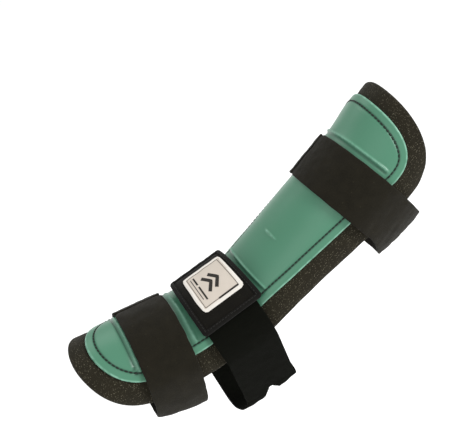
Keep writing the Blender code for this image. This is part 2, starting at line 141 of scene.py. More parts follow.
@dataclass(frozen=True)
class Finish:
    """A finish: its name, its colours, how rough it is, and how its surface was made."""

    name: str
    colour: str
    second: str
    roughness: float
    grain_mm: float
    bump: float
    follows: Coordinates = Coordinates.SPACE
    sheen: float = 0.0
    patch_mm: float = 14.0
    patch_depth: float = 0.5
    specular: float = 0.5

    def material(self) -> bpy.types.Material:
        """Build the material, once.

        Returns:
            The material of this finish.
        """
        known = bpy.data.materials.get(self.name)
        if known:
            return known
        made = bpy.data.materials.new(self.name)
        made.use_nodes = True
        tree = made.node_tree
        shader = tree.nodes["Principled BSDF"]
        shader.inputs["Roughness"].default_value = self.roughness
        shader.inputs["Sheen Weight"].default_value = self.sheen
        shader.inputs["Sheen Roughness"].default_value = 0.5
        shader.inputs["Specular IOR Level"].default_value = self.specular
        where = add_node(tree, "ShaderNodeTexCoord").outputs[self.follows.value]
        tone, relief = self.pattern(tree, where)
        tree.links.new(tone, shader.inputs["Base Color"])
        height = add_node(tree, "ShaderNodeBump", {"Height": relief, "Strength": self.bump,
                                                   "Distance": self.grain_mm * MM})
        tree.links.new(height.outputs["Normal"], shader.inputs["Normal"])
        return made

    def noise(self, tree: bpy.types.NodeTree, where, size_mm: float, detail: float = 2.0):
        """Return a noise value whose features are about size_mm across."""
        made = add_node(tree, "ShaderNodeTexNoise", {"Vector": where, "Scale": 1.0 / (size_mm * MM),
                                                     "Detail": detail})
        return made.outputs[0]

    def ramp(self, tree: bpy.types.NodeTree, value, low: float, high: float):
        """Stretch a value so that low becomes 0 and high becomes 1."""
        made = add_node(tree, "ShaderNodeMapRange", {"Value": value, "From Min": low, "From Max": high})
        return made.outputs[0]

    def mix(self, tree: bpy.types.NodeTree, share, first, second):
        """Blend two colours, given as hex codes or sockets, by a share."""
        first = linear(first) if isinstance(first, str) else first
        second = linear(second) if isinstance(second, str) else second
        made = add_node(tree, "ShaderNodeMix", {0: share, 6: first, 7: second}, data_type="RGBA")
        return made.outputs[2]

    def pattern(self, tree: bpy.types.NodeTree, where) -> tuple:
        """Return the colour and the relief: here soft patches of the two colours under a fine grain."""
        patches = self.noise(tree, where, self.patch_mm)
        patches = self.ramp(tree, patches, 0.5 - self.patch_depth, 0.5 + self.patch_depth)
        return self.mix(tree, patches, self.colour, self.second), self.noise(tree, where, self.grain_mm)


@dataclass(frozen=True)
class MouldedPlastic(Finish):
    """Moulded plastic: a painted highlight on its rim and ribs, painted shade in its grooves and under its
    ribs.
    """

    # Colours of the painted highlight and of the painted shade.
    painted_highlight: str = "#8cc3aa"
    painted_shade: str = "#1f3a2e"

    def pattern(self, tree: bpy.types.NodeTree, where) -> tuple:
        """Return the skin's colour with its painted highlight and painted shade, and the orange-peel relief.
        """
        base, grain = super().pattern(tree, where)
        # The painted light layer: x is painted highlight, y is painted shade; the highlight is broken into
        # patches.
        wear = add_node(tree, "ShaderNodeUVMap", uv_map="wear").outputs[0]
        parts = add_node(tree, "ShaderNodeSeparateXYZ", {0: wear}).outputs
        patchy = self.ramp(tree, self.noise(tree, where, 5.0, 4.0), 0.25, 0.60)
        share = add_node(tree, "ShaderNodeMath", {0: parts[0], 1: patchy}, operation="MULTIPLY").outputs[0]
        return self.mix(tree, parts[1], self.mix(tree, share, base, self.painted_highlight), self.painted_shade), grain


@dataclass(frozen=True)
class FleckedFoam(Finish):
    """Closed-cell foam: dark, with burst cells that catch the light as fine pale flecks."""

    fleck: str = "#8d8775"
    fleck_mm: float = 1.15

    def pattern(self, tree: bpy.types.NodeTree, where) -> tuple:
        """Return patches with flecks, and the pores as relief."""
        base, grain = super().pattern(tree, where)
        cells = add_node(tree, "ShaderNodeTexVoronoi", {"Vector": where, "Scale": 1.0 / (self.fleck_mm * MM)})
        chance = add_node(tree, "ShaderNodeSeparateColor", {0: cells.outputs["Color"]}).outputs[0]
        picked = self.ramp(tree, chance, 0.58, 1.0)
        dot = self.ramp(tree, cells.outputs["Distance"], 0.42, 0.12)
        share = add_node(tree, "ShaderNodeMath", {0: picked, 1: dot}, operation="MULTIPLY").outputs[0]
        relief = add_node(tree, "ShaderNodeMath", {0: grain, 1: cells.outputs["Distance"]}, operation="ADD")
        return self.mix(tree, share, base, self.fleck), relief.outputs[0]


@dataclass(frozen=True)
class Plush(Finish):
    """Brushed nylon loop: short fibres that lie in soft drifts, with lint caught in them."""

    lint: str = "#504b3c"

    def pattern(self, tree: bpy.types.NodeTree, where) -> tuple:
        """Return drifts of fibre with specks of lint, and the loops as relief."""
        base, loops = super().pattern(tree, where)
        fibre = self.ramp(tree, self.noise(tree, where, self.grain_mm * 1.6, 4.0), 0.35, 0.75)
        speck = self.ramp(tree, self.noise(tree, where, 1.3, 1.0), 0.72, 0.84)
        toned = self.mix(tree, fibre, base, self.second)
        return self.mix(tree, speck, toned, self.lint), loops


@dataclass(frozen=True)
class Woven(Finish):
    """Plain weave: threads over and under each other along the piece's own surface."""

    thread_mm: float = 0.5
    threads_to_scale: float = 0.314

    def pattern(self, tree: bpy.types.NodeTree, where) -> tuple:
        """Return the weave's two tones and its relief."""
        waves = []
        sockets = {"Vector": where, "Scale": self.threads_to_scale / (self.thread_mm * MM)}
        for direction in ("X", "Y"):
            wave = add_node(tree, "ShaderNodeTexWave", sockets, bands_direction=direction)
            waves.append(wave.outputs["Fac"])
        over = add_node(tree, "ShaderNodeMath", {0: waves[0], 1: waves[1]}, operation="MULTIPLY").outputs[0]
        drift = self.noise(tree, where, self.patch_mm)
        toned = self.mix(tree, self.ramp(tree, over, 0.0, 1.6), self.colour, self.second)
        return self.mix(tree, self.ramp(tree, drift, 0.2, 1.8), toned, self.second), over


# Polypropylene sheet, heated and vacuum drawn: satin, with a faint orange-peel skin.
SHELL_GREEN = MouldedPlastic("moulded_green_polypropylene", "#4b8468", "#538c71", 0.34, 0.9, 0.10,
                             patch_mm=60.0)
# Closed-cell neoprene-like foam with a cut, slightly furry face.
FOAM = FleckedFoam("black_closed_cell_foam", "#1f1c12", "#2b271b", 0.92, 0.7, 0.55, sheen=0.05, specular=0.2,
                   fleck="#8a8570", fleck_mm=1.0)
# Brushed tricot bonded to the foam: soft and dull.
LINING = Plush("brushed_tricot_lining", "#2b2a29", "#3a3937", 0.95, 0.6, 0.50, sheen=0.2, specular=0.15)
# Nylon plush loop strap.
PLUSH = Plush("nylon_plush_loop", "#15130c", "#221f16", 0.95, 0.75, 0.75, Coordinates.SURFACE, 0.06, 11.0,
              0.28,
              0.15)
# Elastic loop webbing of the heel strap: darker and smoother than the plush.
HEEL_WEB = Plush("elastic_loop_webbing", "#060704", "#0e0f0a", 0.95, 0.6, 0.60, Coordinates.SURFACE, 0.0,
                 16.0,
                 0.30, 0.08, "#2c2c24")
# Loop-faced padding fabric of the ankle flap.
FLAP_CLOTH = Plush("brushed_flap_fabric", "#0a0906", "#15130e", 0.93, 0.7, 0.65, Coordinates.SURFACE, 0.06,
                   9.0,
                   0.30, 0.15)
# Folded polyester edge tape, drawn with threads of 0.9 mm so that the ribs show.
EDGE_TAPE = Woven("polyester_edge_tape", "#080705", "#16140f", 0.85, 0.4, 0.6, Coordinates.SURFACE, 0.04,
                  specular=0.2, thread_mm=0.9)
# Woven satin label, off-white, drawn with threads of 0.6 mm.
LABEL_CLOTH = Woven("woven_satin_label", "#d3c8bb", "#dfd5c9", 0.62, 0.3, 0.18, Coordinates.SURFACE, 0.05,
                    thread_mm=0.6)
LABEL_EDGE = Woven("folded_label_edge", "#ebe5dc", "#f5f1ea", 0.60, 0.3, 0.18, Coordinates.SURFACE, 0.05,
                   thread_mm=0.6)
# Black thread woven into the label.
LABEL_THREAD = Finish("label_black_thread", "#211e1a", "#2e2a25", 0.8, 0.3, 0.3)
LABEL_LINE = Finish("label_grey_thread", "#544f48", "#6d665d", 0.8, 0.3, 0.3)
# Bonded polyester sewing thread.
SEAM_THREAD = Finish("black_seam_thread", "#12130f", "#25251f", 0.6, 0.3, 0.3)
# Moulded nylon hooks.
HOOKS = Finish("nylon_hook_tape", "#161616", "#222222", 0.55, 0.5, 0.3)


# ---------------------------------------------------------------- the leg's base surface

def smooth_step(value, start: float, end: float):
    """0 before start, 1 after end, and an even S between."""
    share = np.clip((np.asarray(value, float) - start) / (end - start), 0.0, 1.0)
    return share * share * (3.0 - 2.0 * share)


def rounded(share, squareness: float):
    """The half width left at a share of the way into a rounded end, from 1 down to 0."""
    return (1.0 - np.clip(share, 0.0, 1.0) ** squareness) ** (1.0 / squareness)


def curve_through(stations, values, at):
    """Read a smooth curve through the stations that never overshoots them.

    Args:
        stations: Places along the crest, rising.
        values: The curve's value at each station.
        at: Where to read it.

    Returns:
        The curve's values there.
    """
    stations, values = np.asarray(stations, float), np.asarray(values, float)
    at = np.clip(np.asarray(at, float), stations[0], stations[-1])
    rise = np.diff(values) / np.diff(stations)
    product = rise[:-1] * rise[1:]
    total = np.where(product > 0.0, rise[:-1] + rise[1:], 1.0)
    slopes = np.concatenate(([rise[0]], np.where(product > 0.0, 2.0 * product / total, 0.0), [rise[-1]]))
    index = np.clip(np.searchsorted(stations, at, side="right") - 1, 0, len(stations) - 2)
    span = stations[index + 1] - stations[index]
    t = (at - stations[index]) / span
    start = (1.0 + 2.0 * t) * (1.0 - t) ** 2 * values[index]
    end = t * t * (3.0 - 2.0 * t) * values[index + 1]
    leave = t * (1.0 - t) ** 2 * span * slopes[index]
    arrive = t * t * (t - 1.0) * span * slopes[index + 1]
    return start + end + leave + arrive


@dataclass(frozen=True)
class LegForm:
    """The base surface: a crest line that bends at the ankle, and an oval section along it."""

    shin_lean: float = math.radians(44.5)
    ankle_bend: float = math.radians(37.8)
    bend_radius: float = 0.0475
    section_at: tuple = (-0.230, -0.150, -0.060, 0.000, 0.060, 0.120, 0.160)
    half_width: tuple = (0.0580, 0.0595, 0.0555, 0.0570, 0.0570, 0.0525, 0.0460)
    front_depth: tuple = (0.0570, 0.0580, 0.0427, 0.0392, 0.0530, 0.0447, 0.0300)
    sole_depth_share: float = 0.76
    sole_squareness: float = 0.80
    sole_from: float = 0.005
    sole_to: float = 0.050
    top_flare: float = 0.0045
    flare_from: float = 0.180
    flare_to: float = 0.226
    flare_fade: tuple = (math.radians(-20), math.radians(45))
    bridge_tilt: float = math.radians(4.0)

    def directions(self, lean) -> tuple:
        """Along the crest towards the toes, and out from the leg, where the crest leans by lean."""
        lean = np.asarray(lean, float)
        nothing = np.zeros_like(lean)
        along = np.stack((nothing, -np.sin(lean), -np.cos(lean)), -1)
        out = np.stack((nothing, -np.cos(lean), np.sin(lean)), -1)
        return along, out

    def crest(self, at) -> tuple:
        """The crest's points and their outward directions."""
        half_bend = self.bend_radius * self.ankle_bend / 2.0
        at = np.asarray(at, float)
        inside = np.clip(at, -half_bend, half_bend)
        along, out = self.directions(self.shin_lean + self.ankle_bend / 2.0 + inside / self.bend_radius)
        middle_out = self.directions(self.shin_lean + self.ankle_bend / 2.0)[1]
        centre = middle_out * (curve_through(self.section_at, self.front_depth, 0.0) + self.bend_radius)
        return centre - out * self.bend_radius + along * (at - inside)[..., None], out

    def point(self, at, turn, height):
        """Points of the base surface, moved out from it by height.

        Args:
            at: Distance along the crest.
            turn: Angle round the leg.
            height: Height over the shell's outer face.

        Returns:
            An array of points.
        """
        at, turn, height = np.broadcast_arrays(np.asarray(at, float), turn, height)
        inner = 1.0 - smooth_step(turn, *self.flare_fade)
        height = height + self.top_flare * smooth_step(-at, self.flare_from, self.flare_to) * inner
        point, out = self.crest(at)
        half_width = curve_through(self.section_at, self.half_width, at) + height
        depth = curve_through(self.section_at, self.front_depth, at) + height
        side, front = np.sin(turn), np.cos(turn)
        foot = smooth_step(at, self.sole_from, self.sole_to)
        power = 1.0 + (self.sole_squareness - 1.0) * foot
        back_depth = depth * (1.0 + (self.sole_depth_share - 1.0) * foot)
        behind_front = depth * (1.0 - front) - height
        behind_back = depth - height + back_depth * np.maximum(-front, 0.0) ** power
        behind = np.where(front >= 0.0, behind_front, behind_back)
        side = np.where(front >= 0.0, side, np.copysign(np.abs(side) ** power, side))
        sideways = (half_width * side)[..., None] * np.array((1.0, 0.0, 0.0))
        return point + sideways - out * behind[..., None]

    def turn_of_arc(self, at, arc):
        """The angle round the leg at which an arc from the crest has the given length."""
        at, arc = np.broadcast_arrays(np.asarray(at, float), np.asarray(arc, float))
        turns = np.linspace(0.0, math.radians(125), 80)
        half_width = curve_through(self.section_at, self.half_width, at.ravel())[:, None]
        depth = curve_through(self.section_at, self.front_depth, at.ravel())[:, None]
        speed = np.hypot(half_width * np.cos(turns), depth * np.sin(turns))
        step = turns[1] - turns[0]
        lengths = np.cumsum((speed[:, 1:] + speed[:, :-1]) / 2.0 * step, axis=1)
        lengths = np.concatenate((np.zeros((len(lengths), 1)), lengths), axis=1)
        wanted = np.abs(arc.ravel())[:, None]
        index = np.clip((lengths < wanted).sum(1) - 1, 0, len(turns) - 2)
        rows = np.arange(len(index))
        low, high = lengths[rows, index], lengths[rows, index + 1]
        share = np.clip((wanted[:, 0] - low) / (high - low), 0.0, 1.0)
        return np.copysign(turns[index] + share * step, arc.ravel()).reshape(arc.shape)

    def ankle_point(self, sideways, along, depth, tilt: float | None = None):
        """Points in the ankle's own axes: to the side, along the bridge over the bend, behind the bend."""
        tilt = self.bridge_tilt if tilt is None else tilt
        front = self.crest(0.0)[0]
        tangent, out = self.directions(self.shin_lean + self.ankle_bend / 2.0 + tilt)
        sideways, along, depth = np.broadcast_arrays(sideways, along, depth)
        across = sideways[..., None] * np.array((1.0, 0.0, 0.0))
        return front + across + tangent * along[..., None] - out * depth[..., None]


@dataclass(frozen=True)
class Outline:
    """A layer's outline on the base surface, with rounded ends."""

    margin: float = 0.0
    top: float = -0.226
    top_round: float = 0.038
    top_squareness: float = 2.9
    toe: float = 0.142
    toe_round: float = 0.047
    toe_squareness: float = 2.0
    edge_at: tuple = (-0.190, -0.127, -0.062, 0.000, 0.045, 0.100)
    edge_half_width: tuple = (0.0652, 0.0580, 0.0503, 0.0440, 0.0500, 0.0540)
    top_slant: float = 0.0072
    slant_arc: float = 0.060
    slant_from: float = 0.110
    slant_to: float = 0.190

    def grown(self, side: float, end: float, extra_round: float, top_squareness: float) -> Outline:
        """The outline of a layer that stands out past this one."""
        return Outline(side, self.top - end, self.top_round + extra_round, top_squareness, self.toe + end,
                       self.toe_round + extra_round)

    def slanted(self, at, arc):
        """Shift a place near the top end, which reaches higher on the inner side of the leg."""
        return at + self.top_slant * arc / self.slant_arc * smooth_step(-at, self.slant_from, self.slant_to)

    def half_loop(self, spacing: float, fine_at: tuple = ()) -> np.ndarray:
        """The outer side's edge, from the middle of the top to the middle of the toe end.

        Args:
            spacing: Distance between points along the sides.
            fine_at: Places along the crest that need close points, and how far to each side of them.

        Returns:
            Points as (at, arc) pairs.
        """
        corner = np.sin(np.linspace(0.0, math.pi / 2.0, 24))
        top_at = self.top + self.top_round * (1.0 - rounded(corner, self.top_squareness))
        toe_at = self.toe - self.toe_round * (1.0 - rounded(corner, self.toe_squareness))
        middle = np.arange(top_at[-1] + spacing, toe_at[-1] - spacing / 2.0, spacing)
        at = np.concatenate((top_at, middle, toe_at[::-1]))
        for place, reach in fine_at:
            close = np.linspace(place - reach, place + reach, 2 * round(reach / 0.0006) + 1)
            at = np.concatenate((at[np.abs(at - place) > reach], close))
        at = np.sort(at)
        share = rounded((self.top + self.top_round - at) / self.top_round, self.top_squareness)
        share = share * rounded((at - self.toe + self.toe_round) / self.toe_round, self.toe_squareness)
        width = curve_through(self.edge_at, self.edge_half_width, at) + self.margin
        return np.stack((at, width * share), -1)

    def grid(self, insets: np.ndarray, columns: int, spacing: float, fine_at: tuple = ()) -> tuple:
        """Cover the outline with rows from side to side.

        Args:
            insets: Distances in from the edge where columns lie, from 0.
            columns: Number of columns between the two innermost insets.
            spacing: Distance between rows along the sides.
            fine_at: Places along the crest that need close rows, and how far to each side of them.

        Returns:
            Arrays of at, arc and distance from the edge, one entry for each grid point.
        """
        edge = self.half_loop(spacing, fine_at)
        mirrored = np.vstack(([edge[1][0], -edge[1][1]], edge, [edge[-2][0], -edge[-2][1]]))
        tangent = mirrored[2:] - mirrored[:-2]
        tangent /= np.linalg.norm(tangent, axis=1)[:, None]
        inward = np.stack((tangent[:, 1], -tangent[:, 0]), -1)
        rings = edge[:, None, :] + inward[:, None, :] * insets[None, :, None]
        rings[..., 1] = np.maximum(rings[..., 1], 0.0)
        innermost = rings[:, -1, :]
        shares = np.linspace(-1.0, 1.0, columns + 2)[1:-1]
        middle_at = np.repeat(innermost[:, :1], columns, axis=1)
        middle_arc = innermost[:, 1:] * shares[None, :]
        at = np.hstack((rings[..., 0], middle_at, rings[:, ::-1, 0]))
        arc = np.hstack((-rings[..., 1], middle_arc, rings[:, ::-1, 1]))
        inner = insets[-1] + innermost[:, 1:] * (1.0 - np.abs(shares))[None, :]
        from_edge = np.hstack((np.tile(insets, (len(edge), 1)), inner, np.tile(insets[::-1], (len(edge), 1))))
        return at, arc, from_edge


# ---------------------------------------------------------------- meshes

def drift(u, v, seed: int, size: float, waves: int = 7):
    """A smooth, seeded unevenness over a surface, from about -1 to 1.

    Args:
        u: First coordinate.
        v: Second coordinate.
        seed: Which unevenness.
        size: The usual length of a wave.
        waves: How many waves are summed.

    Returns:
        The unevenness at each place.
    """
    chance = np.random.RandomState(seed)
    total = 0.0
    for _ in range(waves):
        heading = chance.uniform(0.0, math.pi)
        pitch = 2.0 * math.pi / (size * chance.uniform(0.6, 1.8))
        phase = chance.uniform(0.0, 2.0 * math.pi)
        total = total + np.sin((u * math.cos(heading) + v * math.sin(heading)) * pitch + phase)
    return total / math.sqrt(waves * 2.0)


def finish_mesh(name: str, points: np.ndarray, faces: list, uvs: np.ndarray, wear: np.ndarray | None = None,
                sharp: float = 50.0) -> bpy.types.Object:
    """Make an object of points and faces, joined up, facing outwards and shaded smooth.

    Args:
        name: The piece's name.
        points: Corner points.
        faces: Corner numbers of each face.
        uvs: A surface coordinate for each point, in metres.
        wear: Painted highlight and painted shade at each point, if the finish shows them.
        sharp: Edges that turn by more degrees than this stay sharp.

    Returns:
        The new object.
    """
    mesh = bpy.data.meshes.new(name)
    mesh.from_pydata(np.asarray(points).reshape(-1, 3).tolist(), [], faces)
    corners = np.zeros(len(mesh.loops), np.int64)
    mesh.loops.foreach_get("vertex_index", corners)
    # A second layer carries the painted highlight and painted shade.
    for label, values in (("surface", uvs), ("wear", wear)):
        if values is not None:
            layer = mesh.uv_layers.new(name=label)
            layer.data.foreach_set("uv", np.asarray(values, np.float32).reshape(-1, 2)[corners].ravel())
    build = bmesh.new()
    build.from_mesh(mesh)
    bmesh.ops.remove_doubles(build, verts=build.verts, dist=1e-6)
    bmesh.ops.dissolve_degenerate(build, edges=build.edges, dist=1e-7)
    bmesh.ops.recalc_face_normals(build, faces=build.faces)
    build.to_mesh(mesh)
    build.free()
    mesh.shade_smooth()
    mesh.set_sharp_from_angle(angle=math.radians(sharp))
    piece = bpy.data.objects.new(name, mesh)
    bpy.context.scene.collection.objects.link(piece)
    return piece


def grid_faces(rows: int, columns: int, start: int = 0, wrap: bool = False) -> list:
    """Quads of a grid whose points are numbered row by row."""
    faces = []
    for row in range(rows - 1):
        for column in range(columns if wrap else columns - 1):
            after = (column + 1) % columns
            here, below = start + row * columns, start + (row + 1) * columns
            faces.append((here + column, below + column, below + after, here + after))
    return faces


def closed_plate(name: str, upper: np.ndarray, lower: np.ndarray, uvs: np.ndarray, seamed: bool = False,
                 wear: np.ndarray | None = None) -> bpy.types.Object:
    """Close two matching grids of points into one plate.

    Args:
        name: The piece's name.
        upper: Points of the upper face, by row and column.
        lower: Points of the lower face.
        uvs: Surface coordinates of the grid.
        seamed: Whether the first and last rows meet themselves or each other, and so need no wall.
        wear: Painted highlight and painted shade over the upper face, if the finish shows them.

    Returns:
        The plate.
    """
    rows, columns = upper.shape[:2]
    count = rows * columns
    faces = grid_faces(rows, columns)
    faces += [face[::-1] for face in grid_faces(rows, columns, count)]
    left = [row * columns for row in range(rows)]
    right = [row * columns + columns - 1 for row in range(rows)]
    walls = [*zip(left, left[1:]), *zip(right[1:], right)]
    if not seamed:
        bottom = [(rows - 1) * columns + column for column in range(columns)]
        top = list(range(columns))
        walls += [*zip(bottom, bottom[1:]), *zip(top[1:], top)]
    faces += [(here, after, after + count, here + count) for here, after in walls]
    points = np.concatenate((upper.reshape(-1, 3), lower.reshape(-1, 3)))
    # The lower face gets no painted highlight or painted shade.
    both = [None if values is None else np.concatenate((values.reshape(-1, 2), values.reshape(-1, 2) * below))
            for values, below in ((uvs, 1.0), (wear, 0.0))]
    return finish_mesh(name, points, faces, *both)


@dataclass(frozen=True)
class BandSection:
    """The section of a flat strap: two faces and rounded edges."""

    thickness: float = 0.0026
    edge_round: float = 0.0011
    columns: int = 22

    def profile(self) -> np.ndarray:
        """Points round the section, as (share of the half width, metres in from the edge, height)."""
        turns = np.linspace(0.0, math.pi / 2.0, 5)
        corner = [(self.edge_round * (1.0 - math.sin(t)),
                   self.edge_round * (1.0 - math.cos(t))) for t in turns]
        flat = np.linspace(-1.0, 1.0, self.columns)[1:-1]
        top = [(-1.0, x, self.thickness - y) for x, y in corner[::-1]]
        top += [(share, 0.0, self.thickness) for share in flat]
        top += [(1.0, -x, self.thickness - y) for x, y in corner]
        under = [(-share, x * -1.0, self.thickness - height) for share, x, height in top]
        return np.array(top + under)


def band(name: str, place: Callable, lengths: np.ndarray, half_widths: np.ndarray, section: BandSection,
         relief: Callable | None = None) -> bpy.types.Object:
    """Sweep a strap's section along its length.

    Args:
        name: The piece's name.
        place: Turns (length, across, raised) arrays into points.
        lengths: Stations along the strap, in metres.
        half_widths: Half the strap's width at each station.
        section: The strap's section.
        relief: Extra height of the upper face at (length, across), if any.

    Returns:
        The strap as one closed piece.
    """
    profile = section.profile()
    share, shift, height = profile[:, 0], profile[:, 1], profile[:, 2]
    length = np.repeat(lengths[:, None], len(profile), axis=1)
    limit = half_widths[:, None] - np.abs(shift)[None, :]
    inner = half_widths[:, None] - section.edge_round
    on_edge = np.abs(share)[None, :] >= 1.0
    across = np.where(on_edge, np.sign(share)[None, :] * limit, share[None, :] * inner)
    raised = np.repeat(height[None, :], len(lengths), axis=0)
    if relief is not None:
        lift = relief(length, across)
        raised = raised + lift * (raised / section.thickness)
    points = place(length, across, raised)
    rows, columns = length.shape
    faces = grid_faces(rows, columns, wrap=True)
    faces.append(tuple(range(columns)))
    faces.append(tuple(range((rows - 1) * columns, rows * columns))[::-1])
    uvs = np.stack((length, across + (raised < section.thickness / 2.0) * 0.1), -1)
    return finish_mesh(name, points, faces, uvs)


def rounded_ends(lengths: np.ndarray, half_width: float, corner: float, start: bool, end: bool) -> np.ndarray:
    """Half widths of a strap whose chosen ends have rounded corners."""
    widths = np.full(len(lengths), half_width)
    for wanted, distance in ((start, lengths - lengths[0]), (end, lengths[-1] - lengths)):
        if wanted:
            past = np.clip(1.0 - distance / corner, 0.0, 1.0)
            widths = np.minimum(widths, half_width - corner + corner * np.sqrt(1.0 - past ** 2))
    return widths


def dress(piece: bpy.types.Object, finish: Finish, body: str | None = None) -> bpy.types.Object:
    """Give a piece its material and slot, and the body it rides on if it doesn't bend."""
    piece.data.materials.clear()
    piece.data.materials.append(finish.material())
    if body:
        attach(piece, body)
    LOG.info("made %s", piece.name)
    return piece


# ---------------------------------------------------------------- what repeats

class Repeat:
    """Geometry Nodes that set one small shape again and again along a path or over points."""

    @staticmethod
    def tree(name: str, along_path: bool) -> bpy.types.NodeTree:
        """Build the tree.

        Args:
            name: The tree's name.
            along_path: Whether the shapes lie along a path, or stand on each point by its normal.

        Returns:
            The tree, with Pitch, Length, Radius and Material as its inputs.
        """
        tree = bpy.data.node_groups.new(name, "GeometryNodeTree")
        face = tree.interface
        face.new_socket("Geometry", in_out="INPUT", socket_type="NodeSocketGeometry")
        for label in ("Pitch", "Length", "Radius"):
            face.new_socket(label, in_out="INPUT", socket_type="NodeSocketFloat")
        face.new_socket("Material", in_out="INPUT", socket_type="NodeSocketMaterial")
        face.new_socket("Geometry", in_out="OUTPUT", socket_type="NodeSocketGeometry")
        inputs = add_node(tree, "NodeGroupInput").outputs
        if along_path:
            curve = add_node(tree, "GeometryNodeMeshToCurve", {"Mesh": inputs["Geometry"]})
            spots = add_node(tree, "GeometryNodeCurveToPoints", {"Curve": curve.outputs[0],
                                                                 "Length": inputs["Pitch"]}, mode="LENGTH")
            points, heading = spots.outputs["Points"], spots.outputs["Tangent"]
        else:
            spots = add_node(tree, "GeometryNodeMeshToPoints", {"Mesh": inputs["Geometry"]})
            points = spots.outputs[0]
            heading = add_node(tree, "GeometryNodeInputNamedAttribute", {"Name": "stand"},
                               data_type="FLOAT_VECTOR").outputs["Attribute"]
        turn = add_node(tree, "FunctionNodeAlignRotationToVector", {"Vector": heading}, axis="Z")
        ball = add_node(tree, "GeometryNodeMeshUVSphere", {"Segments": 7, "Rings": 5, "Radius": 1.0})
        size = add_node(tree, "ShaderNodeCombineXYZ", {0: inputs["Radius"], 1: inputs["Radius"],
                                                       2: inputs["Length"]})
        placed = add_node(tree, "GeometryNodeInstanceOnPoints", {
            "Points": points, "Instance": ball.outputs["Mesh"], "Rotation": turn.outputs[0],
            "Scale": size.outputs[0]})
        real = add_node(tree, "GeometryNodeRealizeInstances", {0: placed.outputs[0]})
        smooth = add_node(tree, "GeometryNodeSetShadeSmooth", {0: real.outputs[0]})
        painted = add_node(tree, "GeometryNodeSetMaterial", {0: smooth.outputs[0],
                                                             "Material": inputs["Material"]})
        add_node(tree, "NodeGroupOutput", {0: painted.outputs[0]})
        return tree

    @staticmethod
    def run(name: str, points: np.ndarray, finish: Finish, pitch: float, length: float, radius: float,
            closed: bool = False, stand: np.ndarray | None = None) -> bpy.types.Object:
        """Set the shape along a path of points, or on each point where a standing direction is given.

        Args:
            name: The new piece's name.
            points: The path, or the places.
            finish: The shapes' finish.
            pitch: Distance from one shape to the next along a path.
            length: Half the shape's length.
            radius: The shape's radius.
            closed: Whether the path returns to its start.
            stand: The direction that each shape stands in, for places.

        Returns:
            One plain mesh with every shape.
        """
        along_path = stand is None
        key = "stitch_run" if along_path else "hook_field"
        tree = bpy.data.node_groups.get(key) or Repeat.tree(key, along_path)
        count = len(points)
        edges = []
        if along_path:
            edges = [(i, i + 1) for i in range(count - 1)] + ([(count - 1, 0)] if closed else [])
        mesh = bpy.data.meshes.new(name)
        mesh.from_pydata(np.asarray(points).tolist(), edges, [])
        if not along_path:
            data = mesh.attributes.new("stand", "FLOAT_VECTOR", "POINT")
            data.data.foreach_set("vector", np.asarray(stand, np.float32).ravel())
        guide = bpy.data.objects.new(name + "_guide", mesh)
        bpy.context.scene.collection.objects.link(guide)
        modifier = guide.modifiers.new(key, "NODES")
        modifier.node_group = tree
        sockets = {item.name: item.identifier for item in tree.interface.items_tree if item.in_out == "INPUT"}
        for label, value in (("Pitch", pitch), ("Length", length), ("Radius", radius),
                             ("Material", finish.material())):
            modifier[sockets[label]] = value
        bpy.context.view_layer.update()
        made = bpy.data.meshes.new_from_object(guide.evaluated_get(bpy.context.evaluated_depsgraph_get()))
        guide.modifiers.remove(modifier)
        bpy.data.objects.remove(guide)
        made.name = name
        piece = bpy.data.objects.new(name, made)
        bpy.context.scene.collection.objects.link(piece)
        return piece


# ---------------------------------------------------------------- sub-assemblies

def over_leg(form: LegForm, outline: Outline, at: np.ndarray, arc: np.ndarray, height) -> np.ndarray:
    """Points of a layer laid over the leg, given by arc instead of turn."""
    return form.point(outline.slanted(at, arc), form.turn_of_arc(at, arc), height)


